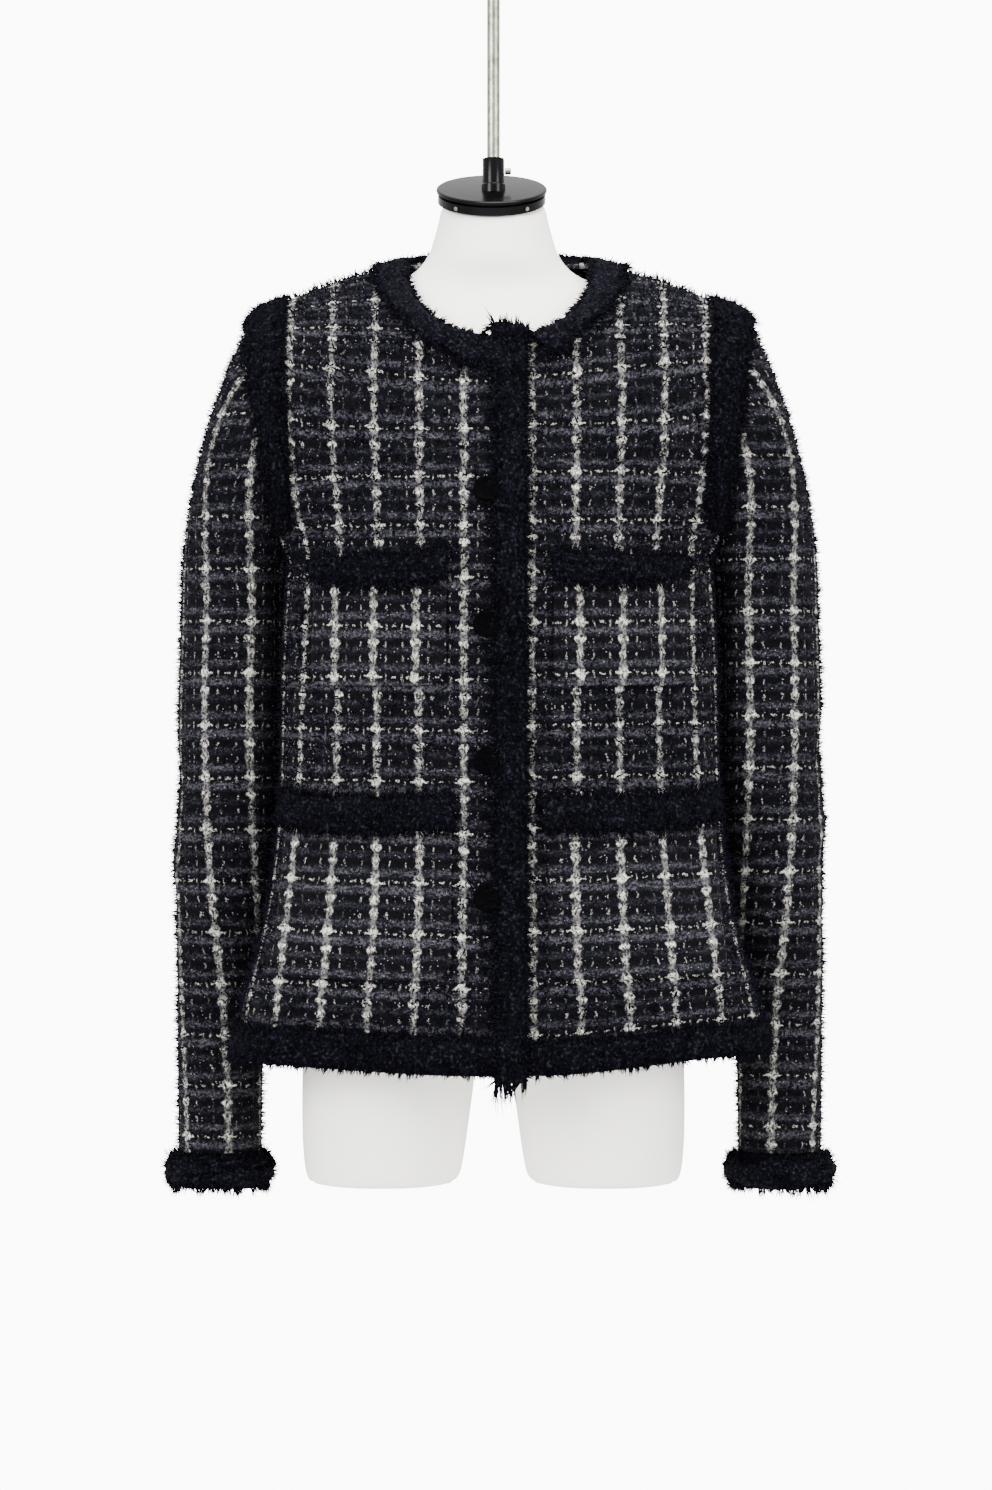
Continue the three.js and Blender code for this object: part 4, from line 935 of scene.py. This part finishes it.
def fringe(name, node, feet, normals, lift, mirror, seed, length=6.5, outer=9.0, inner=8.0,
           ring=False, full=1.0, tails=(6.0, 6.0)):
    """A trim from its feet on the cloth: feet[station, place across the band].

    length, outer, inner and tails are the yarn's lengths on the band, along its outer and
    inner edge, and at its two ends. full stretches the band's height.
    """
    rng = np.random.default_rng(seed)
    rows, places = feet.shape[:2]
    share = np.linspace(0, 1, places)
    lumps = rng.normal(size=(rows, places))
    for _ in range(2):
        lumps = (np.roll(lumps, 1, 0) + lumps + np.roll(lumps, -1, 0)) / 3
    height = lift + full * (CORE * band_height(share)[None] + LUMPS * lumps)
    top = feet + normals * np.maximum(height, lift + 0.4)[..., None]
    foot = feet + normals * lift
    meshes = [fringe_core(name, top, foot, mirror, ring)]
    steps = np.linalg.norm(np.diff(feet[:, places // 2], axis=0), axis=1)
    mile = np.concatenate([[0], np.cumsum(steps)])
    run = mile[-1]
    wide = np.linalg.norm(feet[rows // 2, -1] - feet[rows // 2, 0])
    cells = int(run / TUFT) + 3, int(wide / TUFT) + 3
    lean_of = rng.normal(size=(*cells, 3)) * [0.55, 0.22, 0.6]
    size_of = rng.uniform(0.72, 1.25, cells)

    def sow(way, k, size, lean, rise, drift, rings, thick):
        """Adds yarn ends rooted way along and k across, each drawn towards its tuft."""
        count = len(way)
        s = np.interp(way, mile, np.arange(rows))
        s0 = np.clip(s.astype(int), 0, rows - 2)
        k0 = np.clip((k * (places - 1)).astype(int), 0, places - 2)
        at = s0, k0, s - s0, k * (places - 1) - k0
        out = between(normals, *at)
        along = unit(feet[s0 + 1, k0] - feet[s0, k0])
        across = np.cross(out, along)
        across *= np.sign((across * (feet[s0, -1] - feet[s0, 0])).sum(1, keepdims=True))
        row_shift = (np.floor(way / TUFT) % 2) * 0.5
        i, j = (way / TUFT).astype(int), (k * wide / TUFT + row_shift).astype(int)
        parts = np.stack([lean, np.full(count, rise), np.full(count, drift)], -1)
        parts = parts + lean_of[i, j] + rng.normal(size=(count, 3)) * 0.2
        parts[:, 1] = np.maximum(parts[:, 1], 0.12)
        reach = unit(across * parts[:, :1] + out * parts[:, 1:2] + along * parts[:, 2:])
        long = (size * size_of[i, j] * (0.6 + 0.6 * rng.random(count)))[:, None]
        gather = ((i + 0.5) * TUFT - way)[:, None] * along
        gather += (((j - row_shift + 0.5) * TUFT) - k * wide)[:, None] * across
        tall = CORE * full * np.interp(k, share, band_height(share)) * 0.8
        roots = between(foot, *at) + out * tall[:, None]
        sag = rng.normal(size=(count, 3)) * 0.12 * long + gather * 0.65 + [0, 0, -0.09] * long
        meshes.append(spikes(name, roots * mirror, reach * long * mirror, sag * mirror,
                             thick * (0.7 + 0.6 * rng.random(count)), rng, rings))

    count = int(run * wide * PILE)
    k = rng.random(count)
    sow(run * rng.random(count), k, length, (2 * k - 1) * 0.7, 0.5, 0.0, STUB, YARN * 1.15)
    count = int(run * EDGE)
    for size, first, lean in ((outer, 0.0, -1.2), (inner, INNER_FROM, 1.1)):
        k = first + EDGE_WIDE * rng.random(count)
        sow(run * rng.random(count), k, size, np.full(count, lean), 0.35, 0.0, BENT, YARN)
    count = int(wide * EDGE * 1.6)
    for size, way, drift in ((tails[0], 0.0, -2.0), (tails[1], run, 2.0)):
        if not ring:
            k = rng.random(count)
            sow(abs(way - 4 * rng.random(count)), k, size, (2 * k - 1) * 0.3, 0.3, drift, BENT,
                YARN)
    total = sum(len(mesh.polygons) for mesh in meshes[1:])
    thing = piece(name, joined(name, *meshes), FRINGE, "fringe_yarn", node)
    print(name, total, "faces of yarn ends over", round(run), "mm")
    return thing


# %% [markdown]
# ## Fringe on the panels
# The pocket, hem, front and armhole trims lie on flat-laid parts of a panel, so their feet
# come straight from it. Each band has a row of feet every 3 mm or so, nine to a row. The
# armhole's has three more, out over the head of the sleeve.

# %% Pocket trims, hem trims and the front trim
PLACES = np.linspace(0, 1, 9)
HEM_TALL = {"left": 25.0, "right": 28.5, "back": 28.5}
FRONT_BAND = (-20.5, 4.0)               # from the centre line to each edge
STANDS = 12.0                           # how far the front's fringe stands over the neckline
HANGS = 5.0                             # and how far it hangs below the hem
STATION = 3.0                           # from one row of feet to the next


def stations(length):
    return np.linspace(0, 1, max(int(length / STATION), 3))


seed = 10
for height, (start, end, top, *_) in POCKETS.items():
    share = stations(end - start)
    for side, grid in fronts.items():
        seed += 1
        along = start - 1 + (end - start + 2) * share
        smile = 1.5 - 4.0 * np.sin(np.pi * share)
        if side == "left":
            smile += 5.0 * share - 1.5
        level = top + 5.0 - 27.0 * PLACES[None] + smile[:, None]
        feet, normals, _, _ = on_panel(grid, along[:, None], level)
        fringe(
            f"pocket_fringe_{height}_{side}", f"pocket_trim_{height}_{side}", feet, normals,
            CLOTH + 2 * LIFT, MIRRORS[side], seed, length=5.5)

for side, start in (("left", OVERLAP + 2.0), ("right", 3.0)):
    total = fronts[side]["totals"][0]
    seed += 1
    along = start + (total - start) * stations(total)
    level = FRONT["hem"] + 1.0 + HEM_TALL[side] * PLACES
    feet, normals, _, _ = on_panel(fronts[side], along[:, None], level[None])
    fringe(f"hem_fringe_{side}", f"hem_trim_{side}", feet, normals, LIFT,
                                  MIRRORS[side], seed, outer=5.5, inner=6.5)

share = -1 + 2 * stations(2 * half_back["totals"][0])
level = BACK["hem"] + 1.0 + HEM_TALL["back"] * PLACES
feet, normals, _, _ = at_share(back, share[:, None], level[None])
fringe("hem_fringe_back", "hem_trim_back", feet, normals, LIFT, NO_FLIP, 30,
                           outer=5.5, inner=6.5)

front_tall = FRONT["neck"] + STANDS - FRONT["hem"] + HANGS
level = FRONT["hem"] - HANGS + front_tall * stations(560)
on_front = np.clip(level, FRONT["hem"], FRONT["neck"] + 1)
along = FRONT_BAND[0] + (FRONT_BAND[1] - FRONT_BAND[0]) * PLACES
feet, normals, _, _ = on_panel(fronts["right"], along[None], on_front[:, None])
feet[..., 2] += (level - on_front)[:, None]
fringe("front_fringe", "front_trim", feet, normals, LIFT, FLIP_X, 31,
                        outer=7.0, inner=8.5, tails=(17.0, 9.0))

# %% [markdown]
# ## Fringe round the armholes, the neck and the cuffs
# The armhole's fringe is longest over the shoulder, where it stands up like a brush. The
# neck's runs from one front edge round the back to the other, and stands up beside the
# neck. The cuffs' are rings.

# %% Armhole trims
TURNS = np.linspace(0, 136, 92)             # degrees from the shoulder tip, down each side
OVER_SLEEVE = np.array([9.0, 6.0, 3.0])     # the fringe also covers the head's seam
# in degrees, where the part over the sleeve fades out, and where the band moves further in
NARROWS = {"left": (15, 75), "right": (50, 110)}
MOVES_IN = {"left": (2.5, 15, 60), "right": (0.0, 15, 60)}
for k, (side, mirror) in enumerate(MIRRORS.items()):
    head = sleeves[side]
    further, *moving = MOVES_IN[side]
    rows = []
    for panel, grid, turns, turned_to in ((FRONT, fronts[side], TURNS[::-1], 1),
                                          (BACK, half_back, TURNS[1:], -1)):
        for degree in turns:
            level = panel["top"] - degree * (panel["top"] - ARM_LEVEL) / 180
            inwards = 25.0 * (1 - 0.25 * smooth(degree, 60, 122)) * PLACES
            inwards = inwards + 5.0 * smooth(degree, 60, 110)
            inwards = inwards + further * smooth(degree, *moving)
            total = np.interp(level, grid["levels"], grid["totals"])
            point, normal, _, _ = on_panel(grid, total - 0.5 - inwards, level)
            column = int(np.argmin(abs(head["degrees"] - turned_to * degree)))
            away = head["points"][4, column] - head["points"][0, column]
            beyond = (OVER_SLEEVE * (1 - 0.8 * smooth(degree, *NARROWS[side])))[:, None]
            over = point[:1] + beyond * away / np.linalg.norm(away)
            rows.append((np.concatenate([over, point]), np.concatenate([normal[:3], normal])))
    feet = np.array([point for point, _ in rows])
    normals = np.array([normal for _, normal in rows])
    normals = np.apply_along_axis(lambda v: np.convolve(v, np.ones(5) / 5, "same"), 0, normals)
    fringe(
        f"armhole_fringe_{side}", f"armhole_trim_{side}", feet, unit(normals), LIFT, mirror,
        40 + k, outer=9.0, full=0.9)

# %% The neck trim
RIGHT_END = [[20.0, -80.0, -281.0], [8.0, -80.0, -281.0]]   # over the left front's edge
LEFT_END = [[21.5, -79.4, -280.2]]
NECK_MIDDLE = np.array([0.0, 0.0, -238.0])
NECK_WIDE, NECK_START = 25.0, -1.0
NECK_LIFT = 1.2


def surface(*grids):
    """A search tree over panels, for the foot of the neck's fringe."""
    points, faces = [], []
    for grid, mirror in grids:
        rows, columns = grid["points"].shape[:2]
        first = len(points)
        points += [tuple(p) for p in (grid["points"] * mirror).reshape(-1, 3)]
        for j in range(rows - 1):
            for i in range(columns - 1):
                past_centre = grid["panel"] is FRONT and grid["shares"][i] < -1e-6
                if past_centre and grid["levels"][j + 1] > FRONT["neck"]:
                    continue
                corner = first + j * columns + i
                faces.append((corner, corner + 1, corner + columns + 1, corner + columns))
    return BVHTree.FromPolygons(points, faces)


def neck_line():
    """Even points from the right front's edge round the back, and where the left half starts."""
    front, behind = np.array([4, 8, 14, 22, 32, 44, 56, 68, 78, 85]), np.linspace(90, 0, 16)
    right_half = np.concatenate([neckline(FRONT, front), neckline(BACK, behind)]) * FLIP_X
    right_half = np.concatenate([RIGHT_END, right_half])
    left_half = np.concatenate([neckline(BACK, behind[-2::-1]), neckline(FRONT, front[::-1])])
    line = np.concatenate([right_half, left_half[:-2], LEFT_END])
    steps = np.concatenate([[0], np.cumsum(np.linalg.norm(np.diff(line, axis=0), axis=1))])
    even = np.linspace(0, steps[-1], int(steps[-1] / STATION))
    line = np.stack([np.interp(even, steps, line[:, k]) for k in range(3)], -1)
    return line, int(np.searchsorted(even, steps[len(right_half) - 1]))


def feet_from(line, half, width, start):
    """Feet on the panels beside a line; what reaches past them goes straight on."""
    trees = [surface((fronts[side], MIRRORS[side]), (back, NO_FLIP)) for side in ("right", "left")]
    feet, normals = [], []
    for k, (point, tangent) in enumerate(zip(line, np.gradient(line, axis=0))):
        tree = trees[0] if k <= half else trees[1]
        place, normal, _, _ = tree.find_nearest(Vector(point))
        outwards = point - NECK_MIDDLE
        outwards[2] = 0
        normal = np.array(normal)
        if normal @ (outwards / np.linalg.norm(outwards) + [0, 0, 0.8]) < 0:
            normal = -normal
        across = unit(np.cross(normal, tangent))
        for place_share in PLACES:
            target = Vector(np.array(place) + across * (start + width * place_share))
            foot, turned_to, _, _ = tree.find_nearest(target)
            turned_to = np.array(turned_to)
            turned_to = turned_to if turned_to @ normal > 0 else -turned_to
            beyond = np.array(target) - np.array(foot)
            beyond -= turned_to * (beyond @ turned_to)
            feet.append(np.array(foot) + beyond)
            normals.append(turned_to)
    feet, normals = (np.array(rows).reshape(len(line), -1, 3) for rows in (feet, normals))
    for _ in range(3):
        normals[1:-1] = (normals[:-2] + normals[1:-1] + normals[2:]) / 3
        feet[1:-1] = (feet[:-2] + 2 * feet[1:-1] + feet[2:]) / 4
    return feet, unit(normals)


feet, normals = feet_from(*neck_line(), NECK_WIDE, NECK_START)
fringe("neck_fringe", "neck_trim", feet, normals, NECK_LIFT, NO_FLIP, 50,
                       outer=5.5, inner=10.0, tails=(9.0, 7.0))

# %% The cuff trims
CUFF_STARTS, CUFF_TALL = 3.0, 25.0          # below the sleeve's own end
degrees = np.linspace(-180, 180, 70)
for k, (side, mirror) in enumerate(MIRRORS.items()):
    ring = np.array([sleeve_ring(SLEEVE[0, 0], degrees)] * len(PLACES)).transpose(1, 0, 2)
    ring[..., 2] = SLEEVE[0, 0] - CUFF_STARTS - CUFF_TALL * PLACES[::-1]
    out = np.stack([np.cos(np.radians(degrees)), -np.sin(np.radians(degrees)), 0 * degrees], -1)
    normals = np.repeat(out[:, None], len(PLACES), axis=1)
    fringe(f"cuff_fringe_{side}", f"cuff_trim_{side}", ring, normals,
                                   LIFT, mirror, 60 + k, outer=7.0, length=8.0, inner=6.0,
                                   full=3.0, ring=True)

# %% [markdown]
# ## Buttons
# A button is a turned disc: a bmesh spin of half its section. A soft rim stands round a
# dished middle, and the outer edge is rounded so that it catches the light. Each is turned
# to face out of the cloth it is sewn to.


# %% Turned parts
SHARP = 0.7         # radians: an edge that turns by more than this isn't smoothed over


def turned(section, steps=64):
    """Spins a half section (radius, height in mm) round Z into a closed solid."""
    shape = bmesh.new()
    verts = [shape.verts.new((r * MM, 0, h * MM)) for r, h in section]
    edges = [shape.edges.new(pair) for pair in zip(verts, verts[1:])]
    bmesh.ops.spin(shape, geom=verts + edges, cent=(0, 0, 0), axis=(0, 0, 1),
                   angle=np.radians(360), steps=steps, use_merge=True)
    bmesh.ops.remove_doubles(shape, verts=shape.verts, dist=WELD)
    bmesh.ops.recalc_face_normals(shape, faces=shape.faces)
    for face in shape.faces:
        face.smooth = True
    return shape


def as_mesh(shape, name):
    mesh = bpy.data.meshes.new(name)
    shape.to_mesh(mesh)
    shape.free()
    mesh.set_sharp_from_angle(angle=SHARP)
    return mesh


def set_down(shape, name, turn, place, material, slot, *nodes):
    """Turns a part, moves it to its place in mm, and finishes it as a piece."""
    bmesh.ops.transform(shape, matrix=turn, verts=shape.verts)
    bmesh.ops.translate(shape, vec=Vector(place) * MM, verts=shape.verts)
    return piece(name, as_mesh(shape, name), material, slot, *nodes)


BUTTON_SECTION = [(0, 0), (8.2, 0), (9.3, 0.5), (10.0, 1.5), (10.1, 2.4), (9.8, 3.3), (9.1, 3.8),
                  (8.2, 3.85), (7.3, 3.5), (6.4, 3.2), (3.0, 3.05), (0, 3.0)]
BUTTON_FIRST, BUTTON_PITCH, BUTTON_ACROSS = -397.0, 102.8, 10.0
for k in range(4):
    seat, facing, _, _ = on_panel(fronts["right"], BUTTON_ACROSS, BUTTON_FIRST - k * BUTTON_PITCH)
    seat = (seat + facing * LIFT) * FLIP_X + [JACKET_X, 0, 0]
    turn = Vector((0, 0, 1)).rotation_difference(Vector(facing * FLIP_X)).to_matrix().to_4x4()
    set_down(turned(BUTTON_SECTION), f"button_{k + 1}_turned", turn, seat, BUTTON, "button",
             f"button_{k + 1}")
print("buttons, 20 mm across")

# %% [markdown]
# ## The form
# The form is a fibreglass torso with no head or arms, and two blunt thigh stubs. Rings from
# a table are lofted into three closed shapes, a voxel remesh unites them as the casting
# does, and a few rounds of smoothing take off the voxels' steps.

# %% Lofting and uniting the form
TORSO = np.array([  # height, half width, front, back, power, tilt
    (-810, 152, -104, 100, 2.3, 0), (-750, 152, -110, 102, 2.2, 0),
    (-680, 141, -106, 90, 2.1, 0), (-600, 126, -100, 74, 2.1, 0),
    (-530, 136, -111, 84, 2.1, 0), (-456, 147, -120, 95, 2.2, 0),
    (-400, 152, -111, 95, 2.2, 0), (-356, 158, -97, 90, 2.2, 0),
    (-310, 160, -79, 82, 2.1, 0), (-275, 156, -60, 73, 1.8, 0),
    (-254, 140, -48, 65, 1.5, 0), (-242, 118, -41, 60, 1.4, 0),
    (-233, 90, -37, 56, 1.5, 0), (-224, 66, -38, 53, 1.7, 0),
    (-212, 53, -41, 52, 1.9, 0.1), (-198, 47.5, -39, 51, 2, 0.2),
    (-182, 43, -37, 48, 2, 0.3), (-167.4, 40.5, -34.5, 45.5, 2, 0.404),
])
THIGH = np.array([  # height, half width, front, back, x
    (-930, 57.5, -70, 72, 86), (-924, 60.5, -73, 75, 86), (-890, 64.5, -78, 80, 84.5),
    (-830, 68, -86, 86, 80.5), (-780, 69, -88, 88, 77),
])
THIGH_POWER = 2.1
VOXEL, CALMING = 5.5, 3                 # the remesh's step in mm, and rounds of smoothing


def oval(z, half, front, behind, exponent, tilt, centre_x, degrees):
    angle = np.radians(degrees)
    middle = (front + behind) / 2
    y = middle + power(np.sin(angle), 2 / exponent) * (behind - front) / 2
    x = centre_x + half * power(np.cos(angle), 2 / exponent)
    return np.stack([x, y, z + tilt * (y - middle)], -1)


def lofted(rings):
    """A closed shape through rings, in the form's own place (not the jacket's)."""
    mesh = mesh_from_grid("loft", np.array(rings) - [JACKET_X, 0, 0], weld=True)
    shape = bmesh.new()
    shape.from_mesh(mesh)
    bmesh.ops.holes_fill(shape, edges=[e for e in shape.edges if e.is_boundary], sides=0)
    bmesh.ops.recalc_face_normals(shape, faces=shape.faces)
    shape.to_mesh(mesh)
    shape.free()
    return mesh


around = np.linspace(0, 360, 97)
parts = [lofted([oval(z, *(read(TORSO, z, k) for k in range(1, 6)), 0, around)
                 for z in np.linspace(TORSO[0, 0], TORSO[-1, 0], 160)])]
for side in (-1, 1):
    heights = np.concatenate([np.linspace(THIGH[0, 0], THIGH[1, 0], 4)[:-1],
                              np.linspace(THIGH[1, 0], THIGH[-1, 0], 36)])
    parts.append(lofted([oval(z, *(read(THIGH, z, k) for k in range(1, 4)), THIGH_POWER, 0,
                              side * read(THIGH, z, 4), around) for z in heights]))
form = piece("dress_form_shell", joined("dress_form", *parts), SHELL, "form_shell", "dress_form")
remesh = form.modifiers.new("unite", "REMESH")
remesh.mode, remesh.voxel_size = "VOXEL", VOXEL * MM
calm = form.modifiers.new("calm", "SMOOTH")
calm.factor, calm.iterations = 0.5, CALMING
bpy.context.view_layer.update()
solid = bpy.data.meshes.new_from_object(form.evaluated_get(bpy.context.evaluated_depsgraph_get()))
form.modifiers.clear()
form.data = solid
solid.shade_smooth()
print("form", len(solid.polygons), "faces")

# %% [markdown]
# ## The neck cap, its collar and the rod
# The cap is a turned and lacquered disc over a narrower band. It is spun level and then
# tilted. The rod stands in a short collar that a thumbscrew locks.

# %% Cap, collar, rod and screws
CAP_PLACE, CAP_TILT = (-1.4, 1.0, -156.0), 22.0
CAP_SECTION = [(0, -11.7), (41.2, -11.7), (42, -11.2), (42, -4.9), (41.2, -4.4), (39.6, -4.2),
               (39.6, -3.1), (42.2, -3.0), (43.0, -2.5), (43.2, -1.6), (43.0, -0.7), (42.2, -0.1),
               (41.0, 0.0), (0, 0)]
COLLAR_SECTION = [(5.4, 24), (7.3, 24), (8.2, 23.6), (8.5, 22.8), (8.5, 4.0), (9.3, 3.2),
                  (9.3, -3.0), (5.4, -3.0), (5.4, 24)]
COLLAR_Z = -156.6
ROD_SECTION = [(0, -150), (4.7, -150), (5, -149.7), (5, -0.4), (4.6, 0), (0, 0)]
UPRIGHT = Matrix.Identity(4)
set_down(turned(CAP_SECTION, 96), "neck_cap_turned", Matrix.Rotation(np.radians(CAP_TILT), 4, "X"),
         CAP_PLACE, LACQUER, "black_lacquer", "neck_cap")
set_down(turned(COLLAR_SECTION), "rod_collar", UPRIGHT, (0, 0, COLLAR_Z), LACQUER,
         "black_lacquer", "collar")
set_down(turned(ROD_SECTION, 48), "hanging_rod", UPRIGHT, (0, 0, 0), STEEL, "steel", "rod")
for name in ("collar_screw", *(f"cap_screw_{k}" for k in range(1, 5))):
    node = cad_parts[name]
    node.data.materials.clear()
    node.data.materials.append(STEEL)
print("cap tilts", CAP_TILT, "degrees")

# %% [markdown]

# %% [markdown]
# ## Stage, light and camera
# The form hangs in front of a pale floor and an even, pale surround, which the camera sees
# brighter than it shines on the cloth. Two big soft lamps from the front sides and one from
# above model the cloth gently, as in a catalogue.

# %% Floor and surround
FLOOR_BELOW, FLOOR_RADIUS = 0.95, 3.0       # in metres: how far under the part, how wide
SHINES, SEEN = 1.8, 11.0                    # the surround as light on the cloth, and as seen
low, high = cad_box
shape = bmesh.new()
bmesh.ops.create_circle(shape, cap_ends=True, radius=FLOOR_RADIUS, segments=64)
bmesh.ops.translate(shape, vec=(0, 0, low[2] - FLOOR_BELOW), verts=shape.verts)
paint = Finish("pale_painted_floor")
skin = add(paint.tree, "ShaderNodeBsdfPrincipled", {"Base Color": colour("#F2F2F1"),
                                                    "Roughness": 0.8})
add(paint.tree, "ShaderNodeOutputMaterial", (skin,))
floor = bpy.data.objects.new("floor", as_mesh(shape, "floor"))
floor.data.materials.append(paint.material)
bpy.context.scene.collection.objects.link(floor)
print("floor", FLOOR_BELOW, "m below the part")

world = bpy.data.worlds.new("pale surround")
bpy.context.scene.world = world
world.use_nodes = True
world.node_tree.nodes.clear()
glow, wall = (add(world.node_tree, "ShaderNodeBackground",
                  {"Color": colour("#FFFFFF"), "Strength": strength})
              for strength in (SHINES, SEEN))
seen = add(world.node_tree, "ShaderNodeLightPath").outputs["Is Camera Ray"]
sky = add(world.node_tree, "ShaderNodeMixShader", (seen, glow, wall))
add(world.node_tree, "ShaderNodeOutputWorld", (sky,))
print("surround", SHINES, "on the cloth and", SEEN, "to the camera")

# %% Lamps
LIT = Vector((0, 0, -0.55))     # every lamp points at the middle of the jacket


def lamp(name, place, size, watts):
    light = bpy.data.lights.new(name, "AREA")
    light.shape, light.size, light.energy = "DISK", size, watts
    thing = bpy.data.objects.new(name, light)
    bpy.context.scene.collection.objects.link(thing)
    thing.location = place
    thing.rotation_euler = (LIT - Vector(place)).to_track_quat("-Z", "Y").to_euler()


lamp("left_softbox", (-1.9, -2.2, 0.3), 1.4, 145)
lamp("right_softbox", (2.1, -2.0, 0.0), 1.4, 100)
lamp("top_softbox", (0.2, -0.5, 1.4), 1.2, 75)
print("lamps", len(bpy.data.lights))

# %% Camera
camera = bpy.data.cameras.new("camera")
camera.sensor_fit = "VERTICAL"
camera.sensor_height = 36.0
camera.lens = 99.1
viewer = bpy.data.objects.new("camera", camera)
bpy.context.scene.collection.objects.link(viewer)
viewer.location = (0.002, -3.2, -0.5905)
viewer.rotation_euler = (np.radians(90), 0, 0)
bpy.context.scene.camera = viewer
print("camera", camera.lens, "mm lens, at", tuple(viewer.location))
